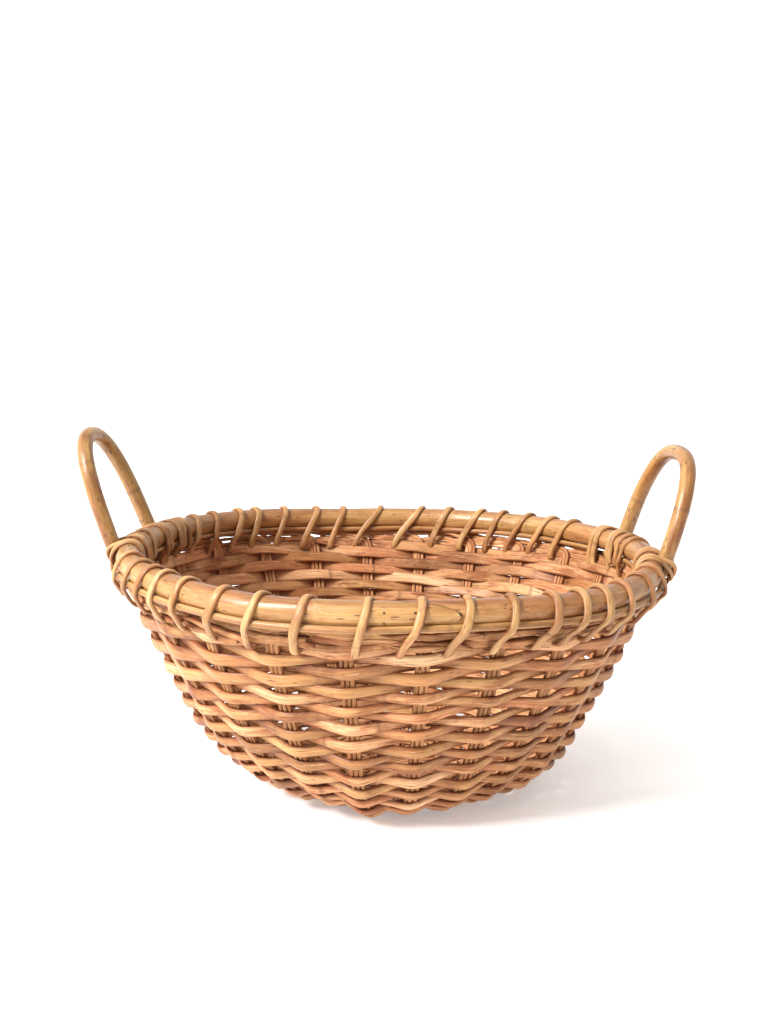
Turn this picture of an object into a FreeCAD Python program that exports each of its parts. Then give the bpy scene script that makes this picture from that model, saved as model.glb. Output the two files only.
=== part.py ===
import FreeCAD, Part
import math
import os

# Deep round cane basket with a bound rim hoop and two fixed hoop handles.
# Units are millimetres.  +Z is up, the origin is on the floor under the
# middle of the base, +X points to the handle on the right-hand side.

# ---------------------------------------------------------------- dimensions
STAKES = 24                      # upright bundles round the wall
STAKE_STEP = 360.0 / STAKES
STAKE_START = -2.2               # angle of the first upright, degrees from +X
SPLITS_PER_STAKE = 3
SPLIT_WIDTH = 3.0
SPLIT_THICK = 3.4
SPLIT_PITCH = 3.15               # side-by-side spacing of the splits
BUTT_GAP = 1.0                   # middle split: free length to the base stick end
BUTT_LAP = 7.0                   # outer splits: length beside the base stick
BUTT_SCALE = 0.4                 # lower tip, as a share of the full section
BUTT_TAPER = 12.0
TIGHTEST_BEND = 3.2              # turn at the border of the last split
TAIL_REACH = 1.86                # length of a border tail, in upright spacings

WEAVER_WIDTH = 7.0
WEAVER_THICK = 3.6
ROW_PITCH = 7.2                  # wall length taken up by one woven row
WEAVE_LIFT = (SPLIT_THICK + WEAVER_THICK) / 2.0 + 0.2
SHELL_HALF = WEAVE_LIFT + WEAVER_THICK / 2.0

FOOT_RADIUS = 78.0               # outer face of the weave: foot, belly, top
BELLY_RADIUS = 148.6
BELLY_HEIGHT = 9.4
TOP_RADIUS = 191.0
TOP_HEIGHT = 146.0

HOOP_RADIUS = 195.0              # rim pole, bent to a ring
HOOP_HEIGHT = 170.0
HOOP_TUBE = 9.0
SCARF_ANGLE = -82.0              # where the two ends of the pole overlap
SCARF_SLOPE = 14.0
SCARF_GAP = 0.3
NAIL_RADIUS = 0.8
NAIL_LENGTH = 12.0
NAIL_SPREAD = 9.0
NAIL_RISE = 3.2                  # nails above and below the pole's middle line
NAIL_PROUD = 0.1

CANE_TUBE = 2.3                  # thin canes laid under the hoop
OUTER_CANE_RADIUS = 203.9
OUTER_CANE_HEIGHT = 162.7
INNER_CANE_RADIUS = 187.6
INNER_CANE_HEIGHT = 160.9
INNER_CANE_START = 30.0          # angle of its butted ends
CANE_CLEARANCE = 2.3             # degrees left free each side of a handle leg

LASH_WIDTH = 5.8
LASH_THICK = 2.2
LASH_GAP = 0.25
LASH_FRACTIONS = (0.27, 0.76)    # where the wraps pass between two uprights
SINGLE_WRAP_GAPS = (6, 18, 22)   # spaces between uprights with one wrap only
WRAP_LEAN = 0.42                 # share of the advance made on the outside
LONGEST_ADVANCE = 8.0            # degrees of one wrap that count for its lean
END_ADVANCE = 1.6                # degrees covered by the last wrap of a strand
CROSS_SWING = 3.4                # binding of a handle leg: reach each side
UPRIGHT_CLEAR = 2.7              # degrees a wrap keeps from an upright

HANDLE_TUBE = 6.0
LEG_RADIUS_AT_HOOP = 204.5       # the legs are notched to lie against the hoop
NOTCH_GAP = 0.15
LEG_BOTTOM = 161.5
HANDLES = {                      # angle, half width, rise, lean, squareness
    "right": (11.5, 53.0, 81.7, 18.2, 2.76),
    "left": (178.5, 42.0, 97.5, 21.0, 2.4),
}

STICK_COUNT = 6                  # base sticks in each of the two layers
STICK_WIDTH = 4.4
STICK_THICK = 3.4
STICK_PITCH = 4.7
CENTRE_SHIFT = 0.5               # puts one stick of each layer over the centre
STICK_STRAIGHT = 17.5            # half length of the parallel middle stretch
STICK_END = 66.0
BASE_WEAVER_WIDTH = 3.4
BASE_WEAVER_THICK = 2.2
BASE_PITCH = 3.6
BASE_START = 38.0
BASE_TURNS = 3.5
FLAT_WEAR = 0.35                 # underside worn flat on the floor

TURNS_PER_WEAVER = 2.0           # length of one weaver, in turns of the wall
LAST_ROW_HEIGHT = 138.6
TUCK_GAP = 0.12                  # free space between two tucked ends, in uprights
END_BLEND = 1.5                  # uprights over which the rows above an end close up

WALL_SAMPLES = 400
RINGS_PER_STAKE = 8
CUBIC_GAIN = 1.03                # makes up for the rounding of cubic curves

os.makedirs("parts", exist_ok=True)


# ---------------------------------------------------------------- wall line
def outer_wall(t):
    """Outer face of the weave in a vertical section: radius, height, slope."""
    a = (1.0 - t) ** 2
    b = 2.0 * t * (1.0 - t)
    c = t * t
    radius = a * FOOT_RADIUS + b * BELLY_RADIUS + c * TOP_RADIUS
    height = b * BELLY_HEIGHT + c * TOP_HEIGHT
    dr = 2.0 * (1.0 - t) * (BELLY_RADIUS - FOOT_RADIUS) + 2.0 * t * (TOP_RADIUS - BELLY_RADIUS)
    dz = 2.0 * (1.0 - t) * BELLY_HEIGHT + 2.0 * t * (TOP_HEIGHT - BELLY_HEIGHT)
    size = math.hypot(dr, dz)
    return radius, height, dr / size, dz / size


def build_wall_line():
    """Middle line of the wall from the base centre to above the top row.

    Each entry is (length along the line, radius, height, dr, dz)."""
    line = [(0.0, 0.0, SHELL_HALF, 1.0, 0.0)]
    for i in range(WALL_SAMPLES + 1):
        radius, height, dr, dz = outer_wall(i / WALL_SAMPLES)
        r = radius - dz * SHELL_HALF
        z = height + dr * SHELL_HALF
        last = line[-1]
        run = last[0] + math.hypot(r - last[1], z - last[2])
        line.append((run, r, z, dr, dz))
    last = line[-1]
    line.append((last[0] + 40.0, last[1] + 40.0 * last[3], last[2] + 40.0 * last[4], last[3], last[4]))
    return line


WALL = build_wall_line()


def wall_at(run):
    """Radius, height and direction of the wall's middle line at a run length."""
    low = 0
    high = len(WALL) - 1
    while high - low > 1:
        mid = (low + high) // 2
        if WALL[mid][0] <= run:
            low = mid
        else:
            high = mid
    a = WALL[low]
    b = WALL[high]
    f = (run - a[0]) / (b[0] - a[0])
    values = [a[i] + f * (b[i] - a[i]) for i in range(1, 5)]
    size = math.hypot(values[2], values[3])
    return values[0], values[1], values[2] / size, values[3] / size


def run_at_height(height):
    """Run length at which the wall's middle line reaches a height."""
    for i in range(2, len(WALL)):
        if WALL[i][2] >= height:
            a = WALL[i - 1]
            b = WALL[i]
            return a[0] + (b[0] - a[0]) * (height - a[2]) / (b[2] - a[2])
    return WALL[-1][0]


def wall_point(run, angle, lift, sideways=0.0):
    """Point and outward normal of the wall.

    lift is measured out from the middle surface, sideways along the rim."""
    radius, height, dr, dz = wall_at(run)
    a = math.radians(angle)
    r = radius + lift * dz
    z = height - lift * dr
    x = r * math.cos(a) - sideways * math.sin(a)
    y = r * math.sin(a) + sideways * math.cos(a)
    point = FreeCAD.Vector(x, y, z)
    normal = FreeCAD.Vector(dz * math.cos(a), dz * math.sin(a), -dr)
    return point, normal


def stake_angle(index):
    return STAKE_START + STAKE_STEP * index


# ---------------------------------------------------------------- strand tool
def closed_curve_extent(poles):
    """Half extents of a closed uniform cubic curve, from its knot points."""
    count = len(poles)
    xs = []
    ys = []
    for i in range(count):
        for store, axis in ((xs, 0), (ys, 1)):
            p = poles[i - 1][axis]
            q = poles[i][axis]
            n = poles[(i + 1) % count][axis]
            store.append((p + 4.0 * q + n) / 6.0)
    return max(xs) - min(xs), max(ys) - min(ys), (max(ys) + min(ys)) / 2.0


def fitted(poles, width, thick):
    """Section scaled so the finished curve has this width and thickness."""
    wide, deep, middle = closed_curve_extent(poles)
    return [(x * width / wide, (y - middle) * thick / deep) for x, y in poles]


def half_round(width, thick):
    """Half-round split: flat pith side inwards, rounded skin side outwards."""
    flat_side = [(-0.9, -1.0), (-0.3, -1.0), (0.3, -1.0), (0.9, -1.0)]
    poles = flat_side + [(1.1, -0.25), (0.72, 0.95), (-0.72, 0.95), (-1.1, -0.25)]
    return fitted(poles, width, thick)


def flat_split(width, thick):
    """Split with four blunt edges."""
    inner_side = [(-1.0, -0.9), (-0.5, -1.05), (0.5, -1.05), (1.0, -0.9)]
    poles = inner_side + [(1.0, 0.9), (0.5, 1.05), (-0.5, 1.05), (-1.0, 0.9)]
    return fitted(poles, width, thick)


def round_cane(diameter):
    poles = [(math.cos(math.radians(45.0 * i)), math.sin(math.radians(45.0 * i))) for i in range(8)]
    return fitted(poles, diameter, diameter)


def strand(points, normals, section, scales=None):
    """Solid of one strand: the section carried along a line of points.

    normals give the outward side of the strand at every point; scales shrink
    the section towards a pointed end."""
    count = len(points)
    net = []
    for i in range(count):
        before = points[max(i - 1, 0)]
        after = points[min(i + 1, count - 1)]
        tangent = after.sub(before)
        tangent.normalize()
        normal = FreeCAD.Vector(normals[i])
        normal = normal.sub(tangent * normal.dot(tangent))
        normal.normalize()
        side = tangent.cross(normal)
        size = scales[i] if scales else 1.0
        net.append([points[i] + side * (x * size) + normal * (y * size) for x, y in section])
    around = len(section)
    knots_along = list(range(count - 2))
    mults_along = [4] + [1] * (count - 4) + [4]
    knots_around = list(range(around + 1))
    mults_around = [1] * (around + 1)
    surface = Part.BSplineSurface()
    surface.buildFromPolesMultsKnots(net, mults_along, mults_around, knots_along, knots_around, False, True, 3, 3)
    side_face = surface.toShape()
    faces = [side_face]
    for edge in side_face.Edges:
        if len(edge.Vertexes) == 1:
            faces.append(Part.Face(Part.Wire([edge])))
    shell = Part.Compound(faces)
    shell.sewShape()
    solid = Part.Solid(shell.Shells[0])
    if solid.Volume < 0:
        solid = Part.Solid(shell.Shells[0].reversed())
    return solid


def save(name, solids):
    shape = Part.Compound(solids) if len(solids) > 1 else solids[0]
    bad = [s for s in solids if not s.isValid() or s.Volume <= 0]
    print(name, len(solids), "solids", round(sum(s.Volume for s in solids)), "mm3", "BAD" if bad else "")
    shape.exportStep("parts/" + name + ".step")


def smooth(value):
    v = min(max(value, 0.0), 1.0)
    return v * v * (3.0 - 2.0 * v)


def flat_wave(phase):
    """Cosine-like wave with flat tops, period 2."""
    wave = math.cos(math.pi * phase)
    return wave * (1.875 - 1.25 * wave ** 2 + 0.375 * wave ** 4)


# ---------------------------------------------------------------- side weave
def weave_lift(position, parity):
    """Lift of a weaver at a position counted in uprights.

    It lies outside every second upright and inside the ones between, and
    runs almost straight from one upright to the next."""
    return WEAVE_LIFT * flat_wave(position - parity) * CUBIC_GAIN


def chord_sag(run, position):
    radius = wall_at(run)[0]
    depth = radius * (1.0 - math.cos(math.radians(STAKE_STEP / 2.0)))
    return depth * math.sin(math.pi * position) ** 2


def pressed_up(run, position):
    """Run length of a woven row after the rows are spread to meet the border.

    Just after a weaver ends, the top row is one row lower than before it, so
    the rows there are spaced a little wider."""
    to_end = (WEAVE_TURNS * STAKES - position) % HALF_ROUND_TRIP
    share = to_end / HALF_ROUND_TRIP
    near_end = min(to_end, HALF_ROUND_TRIP - to_end) / END_BLEND
    if near_end < 1.0:
        side = 1.0 if share > 0.5 else -1.0
        edge = END_BLEND / HALF_ROUND_TRIP
        at_edge = 1.0 - edge if side > 0 else edge
        share = 0.5 + (at_edge - 0.5) * rise_to_level(near_end)
    return run + ROW_PITCH * share * (run - FIRST_RUN) / (LAST_RUN - FIRST_RUN)


def rise_to_level(value):
    """Rises from 0 at 0 to 1 at 1, levelling off towards 1."""
    return math.sin(0.5 * math.pi * value)


def side_weaver(first_run, start, end, parity):
    """One weaver from upright position start to end, climbing as it goes."""
    points = []
    normals = []
    scales = []
    steps = int((end - start) * RINGS_PER_STAKE)
    for i in range(steps + 1):
        position = start + (end - start) * i / steps
        run = pressed_up(first_run + 2.0 * ROW_PITCH * position / STAKES, position)
        lift = weave_lift(position, parity) - chord_sag(run, position)
        point, normal = wall_point(run, stake_angle(position), lift)
        points.append(point)
        normals.append(normal)
        from_end = min(i, steps - i) / 5.0
        scales.append(0.45 + 0.55 * smooth(from_end))
    return strand(points, normals, half_round(WEAVER_WIDTH, WEAVER_THICK), scales)


FIRST_RUN = BASE_START + 2.0 * BASE_PITCH * BASE_TURNS + 8.6
LAST_RUN = run_at_height(LAST_ROW_HEIGHT)
WEAVE_TURNS = (LAST_RUN - FIRST_RUN) / (2.0 * ROW_PITCH)
HALF_ROUND_TRIP = STAKES / 2.0   # uprights between the ends of the two weavers


def build_side_weavers():
    """Two weavers chase each other up the wall, starting on opposite sides."""
    for parity, label in ((0, "a"), (1, "b")):
        first_run = FIRST_RUN - parity * ROW_PITCH
        last = WEAVE_TURNS * STAKES + parity * HALF_ROUND_TRIP
        # Each end is tucked away behind an upright the weaver passes inside.
        start = 1.0 + parity * (HALF_ROUND_TRIP - 1.0)
        index = 1
        while last - start > HALF_ROUND_TRIP:
            end = start + TURNS_PER_WEAVER * STAKES
            if last - end < HALF_ROUND_TRIP:
                end = start + 2.0 * math.floor((last - start) / 2.0)
            solid = side_weaver(first_run, start + TUCK_GAP, end - TUCK_GAP, parity)
            save("side_weaver_" + label + str(index), [trim_floor(solid)])
            start = end
            index = index + 1


def trim_floor(solid):
    """Foot strands are worn flat where they stand on the floor."""
    if solid.BoundBox.ZMin >= 0.0:
        return solid
    reach = 300.0
    floor = Part.makeBox(2 * reach, 2 * reach, 20.0, FreeCAD.Vector(-reach, -reach, -20.0))
    return solid.cut(floor).Solids[0]


# ---------------------------------------------------------------- uprights
def build_stakes():
    top_run = LAST_RUN + WEAVER_WIDTH / 2.0 + LASH_THICK + 2 * LASH_GAP
    for k in range(STAKES):
        solids = []
        for j in range(SPLITS_PER_STAKE):
            sideways = (j - 1) * SPLIT_PITCH
            # Nested bends: the split nearest the bend turns tightest.
            bend = TIGHTEST_BEND + (SPLITS_PER_STAKE - 1 - j) * SPLIT_PITCH
            solids.append(split_path(k, sideways, bend, top_run, j))
        save("stake_%02d" % (k + 1), solids)


def split_path(index, sideways, bend, top_run, order):
    angle = stake_angle(index)
    butt_run = STICK_END + BUTT_GAP if order == 1 else STICK_END - BUTT_LAP
    points = []
    normals = []
    scales = []
    wall_steps = 28
    for i in range(wall_steps + 1):
        run = butt_run + (top_run - butt_run) * i / wall_steps
        point, normal = wall_point(run, angle, 0.0, sideways)
        points.append(point)
        normals.append(normal)
        scales.append(BUTT_SCALE + (1.0 - BUTT_SCALE) * smooth((run - butt_run) / BUTT_TAPER))
    bend_steps = 5
    centre_side = (SPLITS_PER_STAKE - 2) * SPLIT_PITCH + TIGHTEST_BEND
    for i in range(1, bend_steps + 1):
        turn = 0.5 * math.pi * i / bend_steps
        run = top_run + bend * math.sin(turn)
        side = centre_side - bend * math.cos(turn)
        lift = tail_lift(side, run)
        point, normal = wall_point(run, angle, lift, side)
        points.append(point)
        normals.append(normal)
        scales.append(1.0)
    # The tail runs along the rim outside the following uprights.
    level = top_run + bend
    radius = wall_at(level)[0]
    first = math.degrees(centre_side / radius)
    last = STAKE_STEP * (TAIL_REACH - 0.09 * order)
    tail_steps = 12
    for i in range(1, tail_steps + 1):
        swing = first + (last - first) * i / tail_steps
        lift = tail_lift(math.radians(swing) * radius, level)
        point, normal = wall_point(level, angle + swing, lift)
        points.append(point)
        normals.append(normal)
        scales.append(1.0 - 0.45 * smooth((i - tail_steps + 3) / 3.0))
    return strand(points, normals, flat_split(SPLIT_WIDTH, SPLIT_THICK), scales)


def tail_lift(distance, run):
    """Outward shift of a border tail, growing with distance from its upright."""
    spacing = wall_at(run)[0] * math.radians(STAKE_STEP)
    return (SPLIT_THICK + 0.2) * max(distance, 0.0) / spacing


# ---------------------------------------------------------------- base
def stick_line(layer, index):
    """Base stick: parallel across the middle, spreading out to its uprights."""
    offset = (index - (STICK_COUNT - 1) / 2.0 + CENTRE_SHIFT) * STICK_PITCH
    # Uprights of one layer sit in two fans of six on opposite sides.
    first_upright = 18.0 + 6.0 * layer
    target_a = stake_angle(first_upright + index)
    target_b = stake_angle(first_upright + 17.0 - index)
    return offset, target_a, target_b


def build_base_sticks():
    for layer, label in ((0, "lower"), (1, "upper")):
        solids = []
        for index in range(STICK_COUNT):
            solids.append(trim_floor(base_stick(layer, index)))
        save("base_sticks_" + label, solids)


def base_stick(layer, index):
    offset, target_a, target_b = stick_line(layer, index)
    fan_axis = math.radians(stake_angle(18.0 + 6.0 * layer + 2.5))
    along = FreeCAD.Vector(math.cos(fan_axis), math.sin(fan_axis), 0)
    across = FreeCAD.Vector(-math.sin(fan_axis), math.cos(fan_axis), 0)
    flat_z = STICK_THICK / 2.0 - FLAT_WEAR
    if layer == 1:
        flat_z = flat_z + STICK_THICK + 0.1
    points = []
    for target, sign in ((target_b, -1.0), (target_a, 1.0)):
        arm = []
        a = math.radians(target)
        tip = FreeCAD.Vector(math.cos(a), math.sin(a), 0) * STICK_END
        root = along * (STICK_STRAIGHT * sign) + across * offset
        arm_steps = 12
        for i in range(arm_steps + 1):
            f = i / arm_steps
            p = root + (tip - root) * f
            z = flat_z + (SHELL_HALF - flat_z) * smooth(f * 2.2)
            arm.append(FreeCAD.Vector(p.x, p.y, z))
        if sign < 0:
            arm.reverse()
        points.extend(arm)
        if sign < 0:
            for i in range(1, 6):
                shift = STICK_STRAIGHT * (i / 3.0 - 1.0)
                p = along * shift + across * offset
                points.append(FreeCAD.Vector(p.x, p.y, flat_z))
    normals = [FreeCAD.Vector(0, 0, -1)] * len(points)
    return strand(points, normals, flat_split(STICK_WIDTH, STICK_THICK))


def build_base_weavers():
    lift_full = (STICK_THICK + BASE_WEAVER_THICK) / 2.0 + 0.3
    for parity, label in ((0, "a"), (1, "b")):
        points = []
        normals = []
        steps = int(BASE_TURNS * STAKES * RINGS_PER_STAKE)
        for i in range(steps + 1):
            position = BASE_TURNS * STAKES * i / steps
            run = BASE_START + parity * BASE_PITCH + 2.0 * BASE_PITCH * position / STAKES
            lift = lift_full * flat_wave(position - parity) * CUBIC_GAIN
            point, normal = wall_point(run, stake_angle(position), lift)
            points.append(point)
            normals.append(normal)
        solid = strand(points, normals, half_round(BASE_WEAVER_WIDTH, BASE_WEAVER_THICK))
        save("base_weaver_" + label, [trim_floor(solid)])


# ---------------------------------------------------------------- rim
def ring_point(radius, height, angle):
    a = math.radians(angle)
    return FreeCAD.Vector(radius * math.cos(a), radius * math.sin(a), height)


def build_hoop():
    pole = Part.makeTorus(HOOP_RADIUS, HOOP_TUBE, FreeCAD.Vector(0, 0, HOOP_HEIGHT))
    centre = ring_point(HOOP_RADIUS, HOOP_HEIGHT, SCARF_ANGLE)
    scarf_length = 2.0 * HOOP_TUBE / math.tan(math.radians(SCARF_SLOPE)) + 12.0
    cut = Part.makeBox(scarf_length, SCARF_GAP, 6.0 * HOOP_TUBE)
    cut.translate(FreeCAD.Vector(-scarf_length / 2.0, -SCARF_GAP / 2.0, -3.0 * HOOP_TUBE))
    cut.rotate(FreeCAD.Vector(0, 0, 0), FreeCAD.Vector(0, 0, 1), SCARF_ANGLE + 90.0 + SCARF_SLOPE)
    cut.translate(centre)
    pole = pole.cut(cut)
    nails = []
    for along in (-1.0, 1.0):
        for up in (-1.0, 1.0):
            swing = math.degrees(along * NAIL_SPREAD / HOOP_RADIUS)
            rise = up * NAIL_RISE
            head = HOOP_RADIUS + math.sqrt(HOOP_TUBE ** 2 - rise ** 2) + NAIL_PROUD
            outer = ring_point(head, HOOP_HEIGHT + rise, SCARF_ANGLE + swing)
            inward = ring_point(-1.0, 0.0, SCARF_ANGLE + swing)
            pole = pole.cut(Part.makeCylinder(NAIL_RADIUS + 0.05, NAIL_LENGTH + 0.3, outer, inward))
            nails.append(Part.makeCylinder(NAIL_RADIUS, NAIL_LENGTH, outer, inward))
    save("rim_hoop", pole.Solids)
    save("rim_nails", nails)


def cane_length(radius, height, first, last):
    points = []
    normals = []
    steps = int((last - first) / 2.5)
    for i in range(steps + 1):
        angle = first + (last - first) * i / steps
        points.append(ring_point(radius, height, angle))
        normals.append(FreeCAD.Vector(0, 0, 1))
    return strand(points, normals, round_cane(2.0 * CANE_TUBE))


def leg_angles():
    """Angle and lean of the four handle legs: right pair, then left pair."""
    legs = []
    for side in ("right", "left"):
        centre, half_width, rise, lean, square = HANDLES[side]
        swing = math.degrees(math.asin(half_width / LEG_RADIUS_AT_HOOP))
        legs.append((centre - swing, lean))
        legs.append((centre + swing, lean))
    return legs


def build_canes():
    legs = [leg for leg, lean in leg_angles()]
    spans = {"front": (legs[3] - 360.0, legs[0]), "back": (legs[1], legs[2])}
    for name, (first, last) in spans.items():
        first = first + CANE_CLEARANCE
        last = last - CANE_CLEARANCE
        save("rim_cane_outer_" + name, [cane_length(OUTER_CANE_RADIUS, OUTER_CANE_HEIGHT, first, last)])
    inner = cane_length(INNER_CANE_RADIUS, INNER_CANE_HEIGHT, INNER_CANE_START, INNER_CANE_START + 356.0)
    save("rim_cane_inner", [inner])


# ---------------------------------------------------------------- lashing
def plain_outline():
    """Corner points (radius, height) of one wrap, from its lowest outer corner
    up the outside, over the hoop, down the inside and back below the border."""
    off = LASH_THICK / 2.0 + LASH_GAP
    low = LAST_RUN + WEAVER_WIDTH / 2.0 + off
    radius, height, dr, dz = wall_at(low)
    border = 9.6
    top = HOOP_TUBE + off + 0.2
    corners = [(radius + border * dz, height - 1.6 * dr)]
    corners.append((radius + (border + off) * dz + 2.4, height + 6.0))
    corners.append((OUTER_CANE_RADIUS + CANE_TUBE + off + 0.5, OUTER_CANE_HEIGHT - 3.2))
    corners.append((OUTER_CANE_RADIUS + CANE_TUBE + off + 0.6, OUTER_CANE_HEIGHT + 2.4))
    for turn in (25.0, 58.0, 90.0, 122.0, 152.0, 180.0):
        a = math.radians(turn)
        corners.append((HOOP_RADIUS + top * math.cos(a), HOOP_HEIGHT + top * math.sin(a)))
    corners.append((INNER_CANE_RADIUS - CANE_TUBE - off - 0.3, INNER_CANE_HEIGHT))
    corners.append((radius - SPLIT_THICK / 2.0 - off - 0.9, height + 7.0))
    corners.append((radius - SPLIT_THICK / 2.0 - off - 0.4, height + 1.2))
    corners.append((radius - 1.0, height - 0.2))
    corners.append((radius + 4.5, height - 0.9))
    return corners


OUTLINE = plain_outline()
OUTSIDE_CORNERS = 5              # corners before the wrap lies over the hoop
TOP_CORNER = 6
LOW_CORNER = 12


def outline_shares():
    """Share of the way round one wrap at which each corner lies."""
    lengths = [0.0]
    for i in range(len(OUTLINE)):
        a = OUTLINE[i]
        b = OUTLINE[(i + 1) % len(OUTLINE)]
        lengths.append(lengths[-1] + math.hypot(b[0] - a[0], b[1] - a[1]))
    return [v / lengths[-1] for v in lengths]


SHARES = outline_shares()


def leg_push(corner, angle, extra):
    """How far a corner is pushed out to pass over a handle leg."""
    radius, height = OUTLINE[corner]
    push = 0.0
    if corner >= OUTSIDE_CORNERS or height < LEG_BOTTOM - 4.0:
        return push
    for leg, lean in leg_angles():
        away = abs((angle - leg + 180.0) % 360.0 - 180.0)
        reach = math.radians(away) * HOOP_RADIUS
        tilt = math.radians(lean)
        face = LEG_RADIUS_AT_HOOP + (height - HOOP_HEIGHT) * math.tan(tilt) + HANDLE_TUBE / math.cos(tilt)
        need = face + LASH_THICK / 2.0 + LASH_GAP + 1.2 + extra - radius
        push = max(push, need * smooth((16.0 - reach) / 8.0))
    return push


def wrap_rings(bottom, top, after, first_corner, last_corner, extra):
    """Points and normals of one wrap.

    It passes under the border at angle bottom, over the hoop at angle top
    and is on its way to pass under the border again at angle after."""
    points = []
    normals = []
    for i in range(first_corner, last_corner + 1):
        share = SHARES[i]
        if share < SHARES[TOP_CORNER]:
            part_way = (share - SHARES[0]) / (SHARES[TOP_CORNER - 1] - SHARES[0])
            angle = bottom + (top - bottom) * smooth(part_way)
        else:
            part_way = (share - SHARES[TOP_CORNER]) / (SHARES[LOW_CORNER] - SHARES[TOP_CORNER])
            angle = top + (after - top) * smooth(part_way)
        here = OUTLINE[i]
        before = OUTLINE[i - 1]
        beyond = OUTLINE[(i + 1) % len(OUTLINE)]
        points.append(ring_point(here[0] + leg_push(i, angle, extra), here[1], angle))
        dr = beyond[0] - before[0]
        dz = beyond[1] - before[1]
        a = math.radians(angle)
        normals.append(FreeCAD.Vector(dz * math.cos(a), dz * math.sin(a), -dr))
    return points, normals


def clear_of_uprights(angle):
    """The nearest angle at which a wrap can pass between two uprights."""
    nearest = round((angle - STAKE_START) / STAKE_STEP)
    away = angle - stake_angle(nearest)
    if abs(away) >= UPRIGHT_CLEAR:
        return angle
    return stake_angle(nearest) + math.copysign(UPRIGHT_CLEAR, away)


def wrap_positions(first_angle, last_angle):
    """Angles between two handle legs at which the lashing passes below."""
    room = 2.0 * CROSS_SWING + 0.2
    angles = []
    for gap in range(-STAKES, 2 * STAKES):
        fractions = LASH_FRACTIONS
        if gap % STAKES in SINGLE_WRAP_GAPS:
            fractions = (0.45,)
        for n, fraction in enumerate(fractions):
            wander = 0.045 * math.sin(2.3 * (gap % STAKES) + 1.7 * n)
            angle = clear_of_uprights(stake_angle(gap + fraction + wander))
            if first_angle + room < angle < last_angle - room - 0.4:
                angles.append(angle)
    return angles


def lashing(bottoms):
    """Half-round peel wound round the rim, passing below at these angles."""
    points = []
    normals = []
    last = len(OUTLINE) - 1
    for n, bottom in enumerate(bottoms):
        after = bottoms[n + 1] if n + 1 < len(bottoms) else bottom + END_ADVANCE
        finish = last if n + 1 < len(bottoms) else LOW_CORNER - 1
        top = bottom + WRAP_LEAN * min(after - bottom, LONGEST_ADVANCE)
        more = wrap_rings(bottom, top, after, 0, finish, 0.0)
        points.extend(more[0])
        normals.extend(more[1])
    return strand(points, normals, half_round(LASH_WIDTH, LASH_THICK))


def leg_binding(leg):
    """Two wraps crossing over a handle leg like an X."""
    low = clear_of_uprights(leg - CROSS_SWING)
    high = clear_of_uprights(leg + CROSS_SWING)
    first = wrap_rings(low, leg + CROSS_SWING, high, 0, len(OUTLINE) - 1, 0.0)
    second = wrap_rings(high, leg - CROSS_SWING, low, 0, LOW_CORNER - 1, LASH_THICK + 0.3)
    return strand(first[0] + second[0], first[1] + second[1], half_round(LASH_WIDTH, LASH_THICK))


def build_lashings():
    legs = [leg for leg, lean in leg_angles()]
    spans = {
        "right": (legs[0], legs[1]),
        "back": (legs[1], legs[2]),
        "left": (legs[2], legs[3]),
        "front": (legs[3], legs[0] + 360.0),
    }
    for name, (first, last) in spans.items():
        save("rim_lashing_" + name, [lashing(wrap_positions(first, last))])
    for name, leg in zip(("right_front", "right_back", "left_back", "left_front"), legs):
        save("handle_binding_" + name, [leg_binding(leg)])


# ---------------------------------------------------------------- handles
def handle_line(side):
    """Centre line of one handle: leg, arch, leg, in a plane leaning outwards."""
    centre, half_width, rise, lean, square = HANDLES[side]
    a = math.radians(centre)
    tilt = math.radians(lean)
    middle = math.sqrt(LEG_RADIUS_AT_HOOP ** 2 - half_width ** 2)
    base = HOOP_HEIGHT
    heights = []
    leg_steps = 5
    for i in range(leg_steps):
        drop = (LEG_BOTTOM - base) * (1.0 - i / leg_steps)
        heights.append((half_width, drop / math.cos(tilt)))
    arch_steps = 30
    for i in range(arch_steps + 1):
        turn = math.pi * i / arch_steps
        c = math.cos(turn)
        s = math.sin(turn)
        u = half_width * math.copysign(abs(c) ** (2.0 / square), c)
        v = rise * abs(s) ** (2.0 / square)
        heights.append((u, v))
    for i in range(leg_steps - 1, -1, -1):
        drop = (LEG_BOTTOM - base) * (1.0 - i / leg_steps)
        heights.append((-half_width, drop / math.cos(tilt)))
    points = []
    for u, v in heights:
        r = middle + v * math.sin(tilt)
        z = base + v * math.cos(tilt)
        points.append(FreeCAD.Vector(r * math.cos(a) - u * math.sin(a), r * math.sin(a) + u * math.cos(a), z))
    plane = FreeCAD.Vector(math.cos(a) * math.cos(tilt), math.sin(a) * math.cos(tilt), -math.sin(tilt))
    return points, plane


def even_points(points, count):
    """The same line with evenly spaced points."""
    lengths = [0.0]
    for i in range(1, len(points)):
        lengths.append(lengths[-1] + points[i].distanceToPoint(points[i - 1]))
    result = []
    k = 0
    for n in range(count + 1):
        want = lengths[-1] * n / count
        while k < len(points) - 2 and lengths[k + 1] < want:
            k = k + 1
        f = (want - lengths[k]) / (lengths[k + 1] - lengths[k])
        result.append(points[k] + (points[k + 1] - points[k]) * f)
    return result


def build_handles():
    hoop_room = Part.makeTorus(HOOP_RADIUS, HOOP_TUBE + NOTCH_GAP, FreeCAD.Vector(0, 0, HOOP_HEIGHT))
    for side in ("right", "left"):
        points, plane = handle_line(side)
        points = even_points(points, 44)
        rod = strand(points, [plane] * len(points), round_cane(2.0 * HANDLE_TUBE))
        save("handle_" + side, rod.cut(hoop_room).Solids)


build_hoop()
build_canes()
build_handles()
build_base_sticks()
build_base_weavers()
build_stakes()
build_side_weavers()
build_lashings()
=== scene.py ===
import math

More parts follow.
